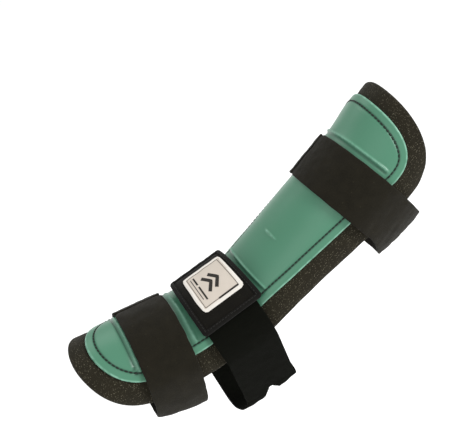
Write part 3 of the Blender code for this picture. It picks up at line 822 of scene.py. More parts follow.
@dataclass
class ShellAssembly:
    """The moulded shell: a stitched flange round a raised field, with ribs and a moulded bar."""

    form: LegForm
    outline: Outline
    thickness: float = 0.0026
    edge_round: float = 0.0015
    groove_inset: float = 0.0085
    groove_depth: float = 0.0009
    groove_half_width: float = 0.0008
    field_raise: float = 0.0004
    rib_at: tuple = (-0.1843, -0.0285, 0.0495, 0.1065, 0.1105)
    rib_height: tuple = (0.0015, 0.0009, 0.0012, 0.0007, -0.0008)
    rib_half_width: tuple = (0.0012, 0.0011, 0.0022, 0.0015, 0.0007)
    rib_reach: tuple = (0.0096, 0.0036, 0.0054, 0.0036, 0.0024)
    rib_fade: tuple = (0.78, 0.84)
    bar_at: float = -0.0695
    bar_arc: tuple = (-0.006, 0.012)
    bar_height: float = 0.0009
    bar_end: float = 0.0015
    rib_foot: float = 2.3
    net_spacing: float = 0.0026
    stitch_pitch: float = 0.0043
    stitch_half_length: float = 0.0018
    stitch_radius: float = 0.00062

    def rib_presence(self, at: np.ndarray, arc: np.ndarray) -> np.ndarray:
        """1 across the middle of the shell, fading to 0 where the ribs run out before its edges."""
        width = curve_through(self.outline.edge_at, self.outline.edge_half_width, at)
        return 1.0 - smooth_step(np.abs(arc) / width, *self.rib_fade)

    def bar_presence(self, arc: np.ndarray) -> np.ndarray:
        """1 along the moulded bar, fading to 0 at its ends."""
        first, last = self.bar_arc
        begun = smooth_step(arc, first, first + self.bar_end)
        return begun * (1.0 - smooth_step(arc, last - self.bar_end, last))

    def relief(self, at: np.ndarray, arc: np.ndarray, from_edge: np.ndarray) -> np.ndarray:
        """Height of the shell's outer face over the base surface."""
        into = np.clip(self.edge_round - from_edge, 0.0, None)
        height = np.sqrt(np.maximum(self.edge_round ** 2 - into ** 2, 0.0)) - self.edge_round
        offset = (from_edge - self.groove_inset) / self.groove_half_width
        height = height - self.groove_depth * np.exp(-offset ** 2)
        field = smooth_step(from_edge, self.groove_inset, self.groove_inset + 0.0025)
        height = height + self.field_raise * field
        fade = self.rib_presence(at, arc)
        level = self.outline.slanted(at, arc)
        for place, rise, half in zip(self.rib_at, self.rib_height, self.rib_half_width):
            height = height + rise * fade * np.exp(-((level - place) / half) ** 2)
            foot = np.exp(-((level - place - self.rib_foot * half) / half) ** 2)
            height = height - 0.45 * rise * fade * foot
        ends = self.bar_presence(arc)
        height = height + self.bar_height * ends * np.exp(-((at - self.bar_at) / 0.0008) ** 2)
        return height + 0.00012 * drift(at, arc, 11, 0.045)

    def build_shell(self) -> bpy.types.Object:
        """Make the shell."""
        insets = MM * np.array((0, .12, .3, .55, .85, 1.2, 2.2, 4.0, 6.0, 7.2, 7.7, 8.1, 8.5, 8.9, 9.3, 9.9,
                                11.2,
                                13.0))
        fine = (*zip(self.rib_at, self.rib_reach), (self.bar_at, 0.0024))
        at, arc, from_edge = self.outline.grid(insets, 36, self.net_spacing, fine)
        upper = over_leg(self.form, self.outline, at, arc, self.relief(at, arc, from_edge))
        lower = over_leg(self.form, self.outline, at, arc, -self.thickness)
        # The outer face carries painted highlight and painted shade.
        return closed_plate("moulded_shell", upper, lower, np.stack((at, arc), -1), True,
                            self.wear(at, arc, from_edge))

    def wear(self, at: np.ndarray, arc: np.ndarray, from_edge: np.ndarray) -> np.ndarray:
        """Painted light on the outer face: painted highlight on the rim, rib tops and bar, painted shade in
        the grooves and at the rib feet.
        """
        level = self.outline.slanted(at, arc)
        fade = self.rib_presence(at, arc)
        # Painted highlight along the trimmed rim, painted shade in the stitch groove.
        painted_highlight = 0.85 * (1.0 - smooth_step(from_edge, 0.0009, 0.0021))
        painted_shade = 0.55 * np.exp(-((from_edge - self.groove_inset) / (1.3 * self.groove_half_width)) ** 2)
        # Painted highlight on the top of each raised rib and painted shade at its foot; painted shade inside
        # the sunk groove.
        for place, rise, half in zip(self.rib_at, self.rib_height, self.rib_half_width):
            top = np.exp(-((level - place) / half) ** 2)
            foot = np.exp(-((level - place - self.rib_foot * half) / half) ** 2)
            painted_highlight = painted_highlight + fade * (0.45 * top if rise > 0.0 else 0.0)
            painted_shade = painted_shade + fade * (0.40 * foot if rise > 0.0 else 0.45 * top)
        # Painted highlight along the moulded bar.
        ends = self.bar_presence(arc)
        painted_highlight = painted_highlight + 0.6 * ends * np.exp(-((at - self.bar_at) / 0.0009) ** 2)
        return np.stack((np.clip(painted_highlight, 0.0, 1.0), np.clip(painted_shade, 0.0, 1.0)), -1)

    def build_stitches(self) -> bpy.types.Object:
        """Sew the run of stitches that lies in the flange's groove."""
        at, arc, _ = self.outline.grid(np.array((0.0, self.groove_inset)), 1, self.net_spacing)
        there, back = (np.stack((at[:, column], arc[:, column]), -1) for column in (-2, 1))
        path = np.concatenate((there, back[-2:0:-1]))
        raised = self.stitch_radius - self.groove_depth + self.field_raise * 0.5
        points = over_leg(self.form, self.outline, path[:, 0], path[:, 1], raised + 0.0001)
        return Repeat.run("shell_stitches", points, SEAM_THREAD, self.stitch_pitch, self.stitch_half_length,
                          self.stitch_radius, closed=True)

    def build(self) -> None:
        """Make and dress the shell and its stitches."""
        shell = dress(self.build_shell(), SHELL_GREEN, "splint")
        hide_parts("shell")
        dress(self.build_stitches(), SEAM_THREAD, "splint")


@dataclass
class LinerAssembly:
    """The foam liner, which stands out past the shell all round, and its lining cloth."""

    form: LegForm
    outline: Outline
    foam_layer: tuple = (-0.0094, -0.0032)
    cloth_layer: tuple = (-0.0112, -0.0101)
    edge_round: float = 0.0026
    cloth_inset: float = 0.0016
    lip: float = 0.0009

    def build_foam(self) -> bpy.types.Object:
        """Make the foam, with soft rounded edges and a faintly uneven face."""
        insets = MM * np.array((0, .2, .6, 1.2, 1.9, 2.6, 5, 9, 14, 20))
        at, arc, from_edge = self.outline.grid(insets, 34, 0.0040)
        into = np.clip(self.edge_round - from_edge, 0.0, None)
        drop = self.edge_round - np.sqrt(np.maximum(self.edge_round ** 2 - into ** 2, 0.0))
        free = 1.0 - smooth_step(from_edge, 0.010, 0.019)
        wave = 0.00025 * drift(at, arc, 23, 0.020)
        top = self.foam_layer[1] - drop + (self.lip + wave) * free
        upper = over_leg(self.form, self.outline, at, arc, top)
        lower = over_leg(self.form, self.outline, at, arc, self.foam_layer[0] + drop)
        return closed_plate("foam_liner_pad", upper, lower, np.stack((at, arc), -1), seamed=True)

    def build_cloth(self) -> tuple:
        """Make the lining cloth, and work out the size it is cut to."""
        outline = self.outline.grown(self.outline.margin - self.cloth_inset, -0.016 - self.cloth_inset, 0.0,
                                     self.outline.top_squareness)
        insets = MM * np.array((0, .4, 2, 6))
        at, arc, from_edge = outline.grid(insets, 30, 0.0045)
        middle = (self.cloth_layer[0] + self.cloth_layer[1]) / 2.0
        thinning = 0.3 + 0.7 * smooth_step(from_edge, 0.0, 0.0004)
        lower, upper = (over_leg(self.form, outline, at, arc, middle + (face - middle) * thinning)
                        for face in self.cloth_layer)
        piece = closed_plate("lining_cloth_face", upper, lower, np.stack((at, arc), -1), seamed=True)
        width = 2.0 * arc.max()
        length = at.max() - at.min()
        edge = outline.half_loop(0.0045)
        area = 2.0 * float(np.trapz(edge[:, 1], edge[:, 0]))
        return piece, (width, length), area

    def build(self) -> None:
        """Make and dress the foam and the cloth."""
        foam = dress(self.build_foam(), FOAM, "splint")
        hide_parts("foam_liner")
        cloth, cut, area = self.build_cloth()
        dress(cloth, LINING, "splint")
        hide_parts("lining_cloth")


@dataclass
class HookPatch:
    """A patch of hook tape: a thin backing with rows of moulded hooks."""

    name: str
    node: str
    body: str
    surface: Callable
    half_length: float
    half_width: float
    base: tuple
    hook_pitch: float = 0.0021
    hook_half_height: float = 0.00042
    hook_radius: float = 0.00028

    def build(self) -> None:
        """Make and dress the backing and its hooks."""
        u = np.linspace(-self.half_length, self.half_length, 40)
        v = np.linspace(-self.half_width, self.half_width, 14)
        along, across = np.meshgrid(u, v, indexing="ij")
        upper, lower = self.surface(along, across, self.base[1]), self.surface(along, across, self.base[0])
        backing = closed_plate(self.name + "_backing", upper, lower, np.stack((along, across), -1))
        dress(backing, HOOKS, self.body)
        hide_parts(self.node)
        outward = 1.0 if self.base[1] > self.base[0] else -1.0
        rows = np.arange(-self.half_length + 0.0015, self.half_length - 0.001, self.hook_pitch)
        lines = np.arange(-self.half_width + 0.0015, self.half_width - 0.001, self.hook_pitch)
        along, across = np.meshgrid(rows, lines, indexing="ij")
        along = along + (np.arange(len(lines)) % 2)[None, :] * self.hook_pitch / 2.0
        foot = self.surface(along, across, self.base[1])
        tip = self.surface(along, across, self.base[1] + outward * 0.001)
        stand = (tip - foot) / np.linalg.norm(tip - foot, axis=-1)[..., None]
        centre = foot + stand * self.hook_half_height * 0.9
        hooks = Repeat.run(self.name + "_hooks", centre.reshape(-1, 3), HOOKS, 1.0, self.hook_half_height,
                           self.hook_radius, stand=stand.reshape(-1, 3))
        dress(hooks, HOOKS, self.body)


@dataclass
class LoopStrap:
    """A plush strap round the leg, from its fixed inner end to its tab, in three stretches.

    Each stretch runs from the middle of one body to the middle of the next, over the hinge between the two.
    """

    form: LegForm
    prefix: str
    middle: str
    start: float
    seed: int
    width: float = 0.050
    lift: float = 0.0022
    over_liner: tuple = (math.radians(62), math.radians(80), 0.0020)
    on_leg: tuple = (math.radians(96), math.radians(128), -0.0015)
    anchor_end: float = math.radians(326)
    back_hinge: float = math.radians(260)
    side_hinge: float = math.radians(130)
    tab_hinge: float = math.radians(66)
    tab_end: float = math.radians(-30)
    crown: float = 0.0016
    bend_turn: float = 0.18
    station_spacing: float = 0.0022
    flare: float = 0.0
    crease: float = 0.00030
    section: BandSection = field(default_factory=BandSection)

    def height(self, turn: np.ndarray) -> np.ndarray:
        """The strap's inner face over the shell's face."""
        from_crest = np.abs(np.remainder(turn + math.pi, 2.0 * math.pi) - math.pi)
        height = np.full(np.shape(turn), self.lift)
        for start, end, drop in (self.over_liner, self.on_leg):
            height = height - drop * smooth_step(from_crest, start, end)
        return height

    def edge_point(self, at: float, turn: np.ndarray, raised: np.ndarray) -> np.ndarray:
        """A point on one edge of the strap."""
        return self.form.point(at, turn, self.height(turn) + raised)

    def lengths(self) -> tuple:
        """Turns round the leg, and how far along the strap each of them is."""
        turns = np.linspace(self.anchor_end, self.tab_end, 700)
        middle = self.start + self.width / 2.0
        line = self.form.point(middle, turns, self.height(turns) + self.section.thickness / 2.0)
        steps = np.linalg.norm(np.diff(line, axis=0), axis=1)
        return turns, np.concatenate(([0.0], np.cumsum(steps)))

    def place(self, length: np.ndarray, across: np.ndarray, raised: np.ndarray) -> np.ndarray:
        """Points of the strap, straight across its width."""
        turns, known = self.lengths()
        turn = np.interp(length, known, turns)
        swell = self.crown * smooth_step(turn, math.radians(86), math.radians(118))
        swell = swell * (1.0 - smooth_step(turn, math.radians(215), math.radians(250)))
        raised = raised + swell * (1.0 - (2.0 * across / self.width) ** 2)
        wider = self.flare * smooth_step(turn, math.radians(80), math.radians(125))
        wider = wider * (1.0 - smooth_step(turn, math.radians(190), math.radians(250)))
        near = self.edge_point(self.start, turn, raised)
        far = self.edge_point(self.start + self.width + wider, turn, raised)
        share = (across / self.width + 0.5)[..., None]
        return near * (1.0 - share) + far * share

    def relief(self, length: np.ndarray, across: np.ndarray) -> np.ndarray:
        """The soft creases of a plush strap that has been folded and pressed many times."""
        soft = drift(length * 1.6, across, self.seed, 0.016)
        soft = soft + 0.5 * drift(length, across * 2.2, self.seed + 1, 0.008)
        return self.crease * np.minimum(soft, 0.9)

    def length_at(self, turn: float) -> float:
        """How far along the strap a turn is."""
        turns, known = self.lengths()
        return float(np.interp(-turn, -turns, known))

    def build(self) -> None:
        """Make the three stretches."""
        hinges = (self.back_hinge, self.side_hinge, self.tab_hinge)
        middles = [(a + b) / 2.0 for a, b in zip(hinges, hinges[1:])]
        ends = [self.anchor_end, *middles, self.tab_end]
        names = ("inner_stretch", "back_stretch", "tab_stretch")
        nodes = (("anchor", self.middle), ("side",), ("tab",))
        half = self.width / 2.0
        centre = self.start + half
        for index, name in enumerate(names):
            first, last = self.length_at(ends[index]), self.length_at(ends[index + 1])
            steps = max(8, round((last - first) / self.station_spacing))
            stations = np.linspace(first, last, steps)
            for wanted, near in ((index == 0, first), (index == 2, last)):
                if wanted:
                    inward = 1.0 if near == first else -1.0
                    extra = near + inward * MM * np.array((.1, .3, .8, 1.5))
                    stations = np.unique(np.concatenate((stations, extra)))
            widths = rounded_ends(stations, half, 0.005, index == 0, index == 2)
            widths = widths + 0.00018 * drift(stations, 0.0 * stations, self.seed + 5, 0.012)
            piece = band(f"{self.prefix}_strap_{name}", self.place, stations, widths, self.section,
                         self.relief)
            dress(piece, PLUSH)
            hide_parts(*(f"{self.prefix}_strap_{node}" for node in nodes[index]))
            hinge = hinges[index]
            raised = np.array(self.section.thickness)
            start, end = (self.edge_point(centre, np.array(hinge + turn), raised)
                          for turn in (self.bend_turn, -self.bend_turn))
            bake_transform(piece)


@dataclass
class HeelStrap:
    """The heel strap: a tab over the instep, two side stretches and two branches round the heel."""

    form: LegForm
    width: float = 0.056
    centre: float = 0.0110
    half_span: float = 0.0575
    front_height: float = 0.0090
    front_depth: float = 0.0440
    split_depth: float = 0.099
    split_width: float = 0.062
    split_centre: float = 0.0130
    branch_reach: float = 0.034
    branch_width: float = 0.0290
    sole_shift: float = 0.016
    back_shift: float = -0.005
    tab_end: float = math.radians(12)
    inner_start: float = math.radians(32)
    split_gap: float = 0.011
    scallops: tuple = ((0.60, 0.30, 0.0036), (-0.62, 0.22, 0.0036))
    back_taper: float = 0.0042
    tuck: float = 0.008
    bend_reach: float = 0.009
    tuck_steps: float = 0.1
    past_split: float = 0.30
    squareness: float = 0.85
    join_half_width: float = 0.0265
    front_arc_share: float = 1.11
    branch_arc_share: float = 1.12
    section: BandSection = field(default_factory=lambda: BandSection(columns=26))

    def hinge_depth(self) -> float:
        """How far behind the bend the strap turns from the instep to the side."""
        return self.front_depth - self.front_height

    def place(self, side: float, length: np.ndarray, across: np.ndarray, raised: np.ndarray) -> np.ndarray:
        """Points of the strap over the instep (length from 0 to 1) and down the side (from 1 to 2)."""
        angle = np.clip(length, 0.0, 1.0) * math.pi / 2.0
        down = np.clip(length - 1.0, 0.0, 1.0)
        share = across / (self.width / 2.0)
        end = self.split_depth
        for middle, half_width, reach in self.scallops:
            end = end + reach * np.exp(-((share - middle) / half_width) ** 2)
        drop = down * (end - self.hinge_depth())
        half = self.width / 2.0 + (self.split_width - self.width) / 2.0 * down
        along = self.centre + (self.split_centre - self.centre) * down + share * half
        along = along + self.back_taper * down * np.maximum(-share, 0.0)
        sideways = (self.half_span + raised) * np.sin(angle)
        depth = self.hinge_depth() - (self.front_depth + raised) * np.cos(angle) + drop
        return self.form.ankle_point(side * sideways, along, depth)

    def relief(self, length: np.ndarray, across: np.ndarray) -> np.ndarray:
        """Wrinkles that gather where the strap splits."""
        down = smooth_step(length, 1.35, 2.0)
        fold = np.sin((across * 0.8 + (length - 1.0) * 0.018) / 0.0021)
        fold = fold * np.exp(-((across + 0.006) / 0.016) ** 2)
        return 0.0006 * down * fold + 0.00022 * drift(length * 0.06, across, 41, 0.014)

    def branch(self, name: str, shift: float, twist: float) -> bpy.types.Object:
        """Make a branch round the heel, sewn under both side stretches.

        Args:
            name: The piece's name.
            shift: How far it drifts along the ankle on its way round.
            twist: How far it turns to lie on the heel.

        Returns:
            The branch.
        """
        side_sign = math.copysign(1.0, shift)
        offset = side_sign * (self.split_width - self.branch_width) / 2.0
        offset = offset + (self.back_taper if shift < 0.0 else 0.0)

        def place(length: np.ndarray, across: np.ndarray, raised: np.ndarray) -> np.ndarray:
            turn = np.clip(length, 0.0, 1.0) * math.pi
            over = np.maximum(-length, 0.0) + np.maximum(length - 1.0, 0.0)
            cosine, sine = np.cos(turn), np.maximum(np.sin(turn), 0.0)
            wander = smooth_step(sine, 0.0, 1.0)
            side = np.copysign(np.abs(cosine) ** self.squareness, cosine)
            inner = (self.section.thickness + 0.0002) * (1.0 - smooth_step(sine, 0.0, 0.35))
            sideways = (self.half_span - inner) * side
            depth = self.split_depth + self.branch_reach * sine ** self.squareness
            depth = depth - over * self.tuck / self.tuck_steps
            angle = twist * wander
            across = across + side_sign * self.split_gap / 4.0 * smooth_step(sine, 0.0, self.past_split)
            along = self.split_centre + offset + shift * wander + across * np.cos(angle)
            along = along - raised * sine * np.sin(angle)
            depth = depth + across * np.sin(angle) + raised * sine * np.cos(angle)
            return self.form.ankle_point(sideways + raised * cosine, along, depth)

        stops = ((-self.tuck_steps, 0.0, 5), (0.0, 1.0, 72), (1.0, 1.0 + self.tuck_steps, 5))
        lengths = np.unique(np.concatenate([np.linspace(*stop) for stop in stops]))
        past_split = smooth_step(np.sin(np.clip(lengths, 0.0, 1.0) * math.pi), 0.0, self.past_split)
        widths = self.branch_width / 2.0 - self.split_gap / 4.0 * past_split
        return band(name, place, lengths, widths, self.section,
                    lambda length, across: 0.0003 * drift(length * 0.14, across, 47, 0.012))

    def build_join(self) -> None:
        """Make the sewn-on end of the inner stretch that the ankle flap hangs on."""
        sideways = np.array((-0.0462, -0.0345, -0.0304, -0.0225))
        depth = np.array((0.0044, -0.0044, -0.0078, -0.0108))
        steps = np.concatenate(([0.0], np.cumsum(np.hypot(np.diff(sideways), np.diff(depth)))))
        slope_side, slope_depth = np.gradient(sideways, steps), np.gradient(depth, steps)

        def place(length: np.ndarray, across: np.ndarray, raised: np.ndarray) -> np.ndarray:
            side, deep = np.interp(length, steps, sideways), np.interp(length, steps, depth)
            out_side = np.interp(length, steps, slope_depth)
            out_deep = -np.interp(length, steps, slope_side)
            return self.form.ankle_point(side + raised * out_side, self.centre + across,
                                         deep + raised * out_deep)

        thin = BandSection(0.0009, 0.0004, 20)
        widths = np.full(26, self.join_half_width)
        join = band("heel_strap_flap_join", place, np.linspace(0.0, steps[-1], len(widths)), widths, thin)
        dress(join, HEEL_WEB)
        start, end = (tuple(self.form.ankle_point(side, self.centre, deep))
                      for side, deep in ((-0.0375, -0.0022), (-0.0285, -0.0088)))
        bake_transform(join)

    def build(self) -> None:
        """Make and dress the strap's stretches and branches."""
        half = self.width / 2.0
        front = math.hypot(self.half_span, self.front_depth) * self.front_arc_share
        tab_from = self.tab_end / (math.pi / 2.0)
        rounding = MM * np.array((0, .2, .5, 1, 2, 3.5, 5)) / front
        lengths = np.concatenate((tab_from + rounding, np.linspace(tab_from + 0.08, 1.0, 34),
                                  np.linspace(1.0, 2.0, 34)[1:]))
        widths = rounded_ends(lengths * front, half, 0.006, True, False)
        outer = band("heel_strap_tab_and_side", lambda *where: self.place(1.0, *where), lengths, widths,
                     self.section, self.relief)
        dress(outer, HEEL_WEB)
        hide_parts("heel_strap_tab", "heel_strap_outer_side")
        span, depth = self.half_span + self.section.thickness, self.hinge_depth()
        start, end = (tuple(self.form.ankle_point(span, self.centre, depth + reach))
                      for reach in (self.bend_reach, -self.bend_reach))
        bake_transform(outer)
        self.build_join()
        inner_from = self.inner_start / (math.pi / 2.0)
        lengths = np.concatenate((np.linspace(inner_from, 1.0, 26), np.linspace(1.0, 2.0, 34)[1:]))
        inner = band("heel_strap_inner_stretch", lambda *where: self.place(-1.0, *where), lengths,
                     np.full(len(lengths), half), self.section, self.relief)
        dress(inner, HEEL_WEB, "splint")
        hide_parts("heel_strap_inner_side")
        for name, shift, twist in (("sole", self.sole_shift, -0.5), ("back", self.back_shift, 0.5)):
            piece = self.branch(f"heel_strap_{name}_loop", shift, twist * self.form.ankle_bend)
            dress(piece, HEEL_WEB, "splint")
            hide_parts(f"heel_strap_{name}_branch")


@dataclass
class AnkleFlap:
    """The ankle flap: a bound, padded flap with hook tape below and a woven label on top."""

    form: LegForm
    tilt: float = math.radians(2.0)
    centre: float = 0.0105
    shift: float = 0.0067
    length: float = 0.064
    span: float = math.radians(33.8)
    skew: float = -0.0028
    radius: float = 0.064
    under: float = 0.0158
    thickness: float = 0.0050
    crown: float = 0.0007
    corner: float = 0.004
    binding_width: float = 0.0050
    label_size: tuple = (0.045, 0.045)
    label_shift: float = -0.003
    label_aside: float = -0.0012
    label_thickness: float = 0.0006
    hook_span: tuple = (math.radians(5), math.radians(28))

    def place(self, along: np.ndarray, across: np.ndarray, height) -> np.ndarray:
        """Points of the flap: along it, across it round the instep, and over its under face."""
        half_along, half_across = self.half_size()
        along = along + self.skew * across / half_across * np.clip(-along / half_along, 0.0, 1.0)
        angle = (across + self.shift) / self.radius
        ring = self.radius + height
        depth = self.radius - self.under - ring * np.cos(angle)
        return self.form.ankle_point(ring * np.sin(angle), self.centre + along, depth, self.tilt)

    def half_size(self) -> tuple:
        """Half the flap's size along and across."""
        return self.length / 2.0, self.span * self.radius

    def top(self, along: np.ndarray, across: np.ndarray) -> np.ndarray:
        """Height of the pad's face: crowned, and drawn down where the binding is sewn."""
        half_along, half_across = self.half_size()
        u, v = np.abs(along) / half_along, np.abs(across) / half_across
        swell = self.crown * (1.0 - u ** 4) * (1.0 - v ** 4)
        from_edge = np.minimum(half_along - np.abs(along), half_across - np.abs(across))
        pinch = 0.0009 * (1.0 - smooth_step(from_edge, self.binding_width - 0.001,
                                            self.binding_width + 0.004))
        return self.thickness + swell - pinch + 0.00016 * drift(along, across, 61, 0.012)

    def build_pad(self) -> bpy.types.Object:
        """Make the pad."""
        half_along, half_across = self.half_size()
        inset = 0.0015
        along, across = np.meshgrid(np.linspace(inset - half_along, half_along - inset, 64),
                                    np.linspace(inset - half_across, half_across - inset, 74), indexing="ij")
        from_edge = np.minimum(half_along - inset - np.abs(along), half_across - inset - np.abs(across))
        edge = 0.0014 * (1.0 - smooth_step(from_edge, 0.0, 0.003))
        upper = self.place(along, across, self.top(along, across) - edge)
        lower = self.place(along, across, edge)
        return closed_plate("ankle_flap_padding", upper, lower, np.stack((along, across), -1))

    def border(self, inset: float, corner: float, spacing: float = 0.0012) -> np.ndarray:
        """Points round the flap, inset from its edge, as (along, across)."""
        half_along, half_across = (size - inset for size in self.half_size())
        return rounded_rectangle(half_along, half_across, corner, spacing)

    def build_binding(self) -> bpy.types.Object:
        """Fold the edge tape round the pad's edge."""
        tall = self.thickness
        fold = ((5.0, tall / MM - 0.5), (4.8, tall / MM + 0.25), (4.2, tall / MM + 0.55), (2.6,
                                                                                           tall / MM + 0.62),
                (1.0, tall / MM + 0.40), (0.2, tall / MM - 0.5), (0.0, tall / MM / 2.0), (0.2, 0.5), (1.0,
                                                                                                      -0.15),
                (2.6, -0.30), (4.2, -0.30), (4.8, -0.15), (5.0, 0.4))
        loops = []
        for inset, height in fold:
            path = self.border(inset * MM, max(self.corner - inset * MM, 0.0006))
            wave = 1.0 + 0.05 * drift(path[:, 0], path[:, 1], 71, 0.009)
            loops.append(self.place(path[:, 0], path[:, 1], height * MM * wave))
        count = min(len(loop) for loop in loops)
        loops = np.stack([loop[:count] for loop in loops])
        around = np.arange(count) * 0.0012
        uvs = np.stack(np.meshgrid(np.arange(len(fold)) * 0.0011, around, indexing="ij"), -1)
        faces = []
        for ring in range(len(fold)):
            after = (ring + 1) % len(fold)
            for step in range(count):
                following = (step + 1) % count
                faces.append((ring * count + step, after * count + step, after * count + following,
                              ring * count + following))
        return finish_mesh("ankle_flap_edge_tape", loops, faces, uvs)

    def label_place(self, along: np.ndarray, across: np.ndarray, height) -> np.ndarray:
        """Points over the flap's face, measured from the label's middle."""
        along, across = along + self.label_shift, across + self.label_aside
        return self.place(along, across, self.top(along, across) + height)

    def build_label(self) -> tuple:
        """Make the label's field and its folded edge."""
        half_along, half_across = self.label_size[0] / 2.0, self.label_size[1] / 2.0
        fold = 0.0030
        u = np.linspace(-1.0, 1.0, 56)
        along, across = np.meshgrid(u * half_along, u * half_across, indexing="ij")
        near_corner = smooth_step(np.abs(along), 0.82 * half_along, half_along)
        near_corner = near_corner * smooth_step(np.abs(across), 0.82 * half_across, half_across)
        wave = 0.0006 * drift(across, across * 0.0, 83, 0.018) * smooth_step(along, 0.3 * half_along,
                                                                             half_along)
        along, across = along * (1.0 - 0.045 * near_corner) + wave, across * (1.0 - 0.045 * near_corner)
        from_edge = np.minimum(half_along - np.abs(along), half_across - np.abs(across))
        edge = 0.00035 * (1.0 - smooth_step(from_edge, 0.0, 0.0012))
        rolled = 0.00030 * (1.0 - smooth_step(from_edge, fold - 0.0006, fold))
        upper = self.label_place(along, across, 0.0001 + self.label_thickness + rolled - edge)
        lower = self.label_place(along, across, 0.0001 + 0.0 * along)
        piece = closed_plate("ankle_flap_woven_label", upper, lower, np.stack((along, across), -1))
        piece.data.materials.clear()
        middles = np.array([face.center for face in piece.data.polygons])
        near_edge = self.near_label_edge(middles, fold)
        return piece, near_edge

    def near_label_edge(self, points: np.ndarray, fold: float) -> np.ndarray:
        """Which points lie on the label's folded edge."""
        tangent, _ = self.form.directions(self.form.shin_lean + self.form.ankle_bend / 2.0 + self.tilt)
        front = self.form.crest(0.0)[0]
        along = (points - front) @ tangent - self.centre - self.label_shift
        across = np.arcsin(np.clip(points[:, 0] / (self.radius + self.thickness), -1.0, 1.0)) * self.radius
        across = across - self.shift - self.label_aside
        half_along, half_across = self.label_size[0] / 2.0, self.label_size[1] / 2.0
        return (np.abs(along) > half_along - fold) | (np.abs(across) > half_across - fold)

    def mark(self, name: str, strokes: list, width: float, height: float) -> bpy.types.Object:
        """Weave straight strokes of thread into the label.

        Args:
            name: The piece's name.
            strokes: Runs of (along, across) points in millimetres.
            width: A stroke's width.
            height: How far the thread stands over the label.

        Returns:
            The strokes as one piece.
        """
        base = self.label_thickness + 0.0001
        points, uvs, faces = [], [], []
        for run in strokes:
            path = densify(np.array(run, float) * MM, 0.0015)
            tangent = np.gradient(path, axis=0)
            tangent /= np.maximum(np.linalg.norm(tangent, axis=1)[:, None], 1e-9)
            normal = np.stack((-tangent[:, 1], tangent[:, 0]), -1) * width / 2.0
            left, right = path + normal, path - normal
            section = ((left, height), (right, height), (right, -height), (left, -height))
            ring = np.stack([self.label_place(side[:, 0], side[:, 1], base + lift) for side,
                             lift in section], 1)
            start = len(points)
            rows = len(path)
            points.extend(ring.reshape(-1, 3))
            uvs.extend(np.repeat(path, 4, axis=0))
            faces += grid_faces(rows, 4, start, wrap=True)
            faces += [(start, start + 1, start + 2, start + 3),
                      tuple(start + (rows - 1) * 4 + k for k in (3, 2, 1, 0))]
        return finish_mesh(name, np.array(points), faces, np.array(uvs))

    @staticmethod
    def label_marks() -> tuple:
        """The label's plain marks: name, strokes in millimetres, width, height and finish."""
        half, flat = 18.4, 0.00015
        corners = ((half, half), (half, -half), (-half, -half), (-half, half), (half, half))
        chevrons = [[(6.0 - shift, -8.5), (-0.5 - shift, 0.0), (6.0 - shift, 8.5)] for shift in (0.0, 7.5)]
        bars = [[(12.2, -15.0), (12.2, -5.0)], [(12.2, -2.5), (12.2, 13.0)]]
        return (
            ("label_frame_line", list(zip(corners, corners[1:])), 0.00055, flat, LABEL_LINE),
            ("label_mark", chevrons, 0.0034, flat, LABEL_THREAD),
            ("label_bars", bars, 0.0017, flat, LABEL_THREAD),
            ("label_rule_line", [[(15.4, -15.0), (15.4, 11.0)]], 0.0007, flat, LABEL_THREAD),
            ("label_side_bar", [[(-half, half), (3.0, half)]], 0.0016, 0.00022, LABEL_THREAD),
        )

    def build(self) -> None:
        """Make and dress every piece of the flap."""
        body = "ankle_flap"
        pad = dress(self.build_pad(), FLAP_CLOTH, body)
        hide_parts("ankle_flap_pad")
        tape = dress(self.build_binding(), EDGE_TAPE, body)
        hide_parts("ankle_flap_binding")
        label, near_edge = self.build_label()
        dress(label, LABEL_CLOTH, body)
        label.data.materials.append(LABEL_EDGE.material())
        label.data.polygons.foreach_set("material_index", near_edge.astype(np.int32))
        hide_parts("ankle_flap_label")
        for name, strokes, width, height, finish in self.label_marks():
            dress(self.mark(name, strokes, width, height), finish, body)
        half_seam = [size / 2.0 - 0.0014 for size in self.label_size]
        seam = rounded_rectangle(*half_seam, 0.001, 0.001)
        path = self.label_place(seam[:, 0], seam[:, 1], self.label_thickness + 0.0003)
        stitches = Repeat.run("label_stitches", path, LABEL_EDGE, 0.0026, 0.0010, 0.00028, closed=True)
        dress(stitches, LABEL_EDGE, body)
        seam = self.border(self.binding_width - 0.0012, 0.0012)
        path = self.place(seam[:, 0], seam[:, 1], self.thickness + 0.00062)
        stitches = Repeat.run("edge_tape_stitches", path, SEAM_THREAD, 0.0034, 0.0013, 0.00030, closed=True)
        dress(stitches, SEAM_THREAD, body)


def densify(path: np.ndarray, step: float) -> np.ndarray:
    """Add points along a path so that none lie further apart than a step."""
    made = [path[:1]]
    for first, last in zip(path[:-1], path[1:]):
        count = max(2, int(math.ceil(np.linalg.norm(last - first) / step)) + 1)
        made.append(first + (last - first) * np.linspace(0.0, 1.0, count)[1:, None])
    return np.concatenate(made)


def rounded_rectangle(half_along: float, half_across: float, corner: float, spacing: float) -> np.ndarray:
    """Points round a rectangle with arc corners, as (along, across), the same count for any inset."""
    made = []
    steps_across = round(0.074 / spacing)
    steps_along = round(0.064 / spacing)
    for quarter, (a, b) in enumerate(((1, 1), (-1, 1), (-1, -1), (1, -1))):
        turns = np.radians(90 * quarter + np.linspace(0.0, 90.0, 7))
        arc = np.stack((a * (half_along - corner) + corner * np.cos(turns),
                        b * (half_across - corner) + corner * np.sin(turns)), -1)
        made.append(arc)
        following = ((-1, 1), (-1, -1), (1, -1), (1, 1))[quarter]
        turn = math.radians(90 * quarter + 90)
        target = np.array((following[0] * (half_along - corner) + corner * math.cos(turn),
                           following[1] * (half_across - corner) + corner * math.sin(turn)))
        count = steps_along if quarter in (0, 2) else steps_across
        made.append(arc[-1] + (target - arc[-1]) * np.linspace(0.0, 1.0, count + 2)[1:-1, None])
    return np.concatenate(made)


# ---------------------------------------------------------------- the studio

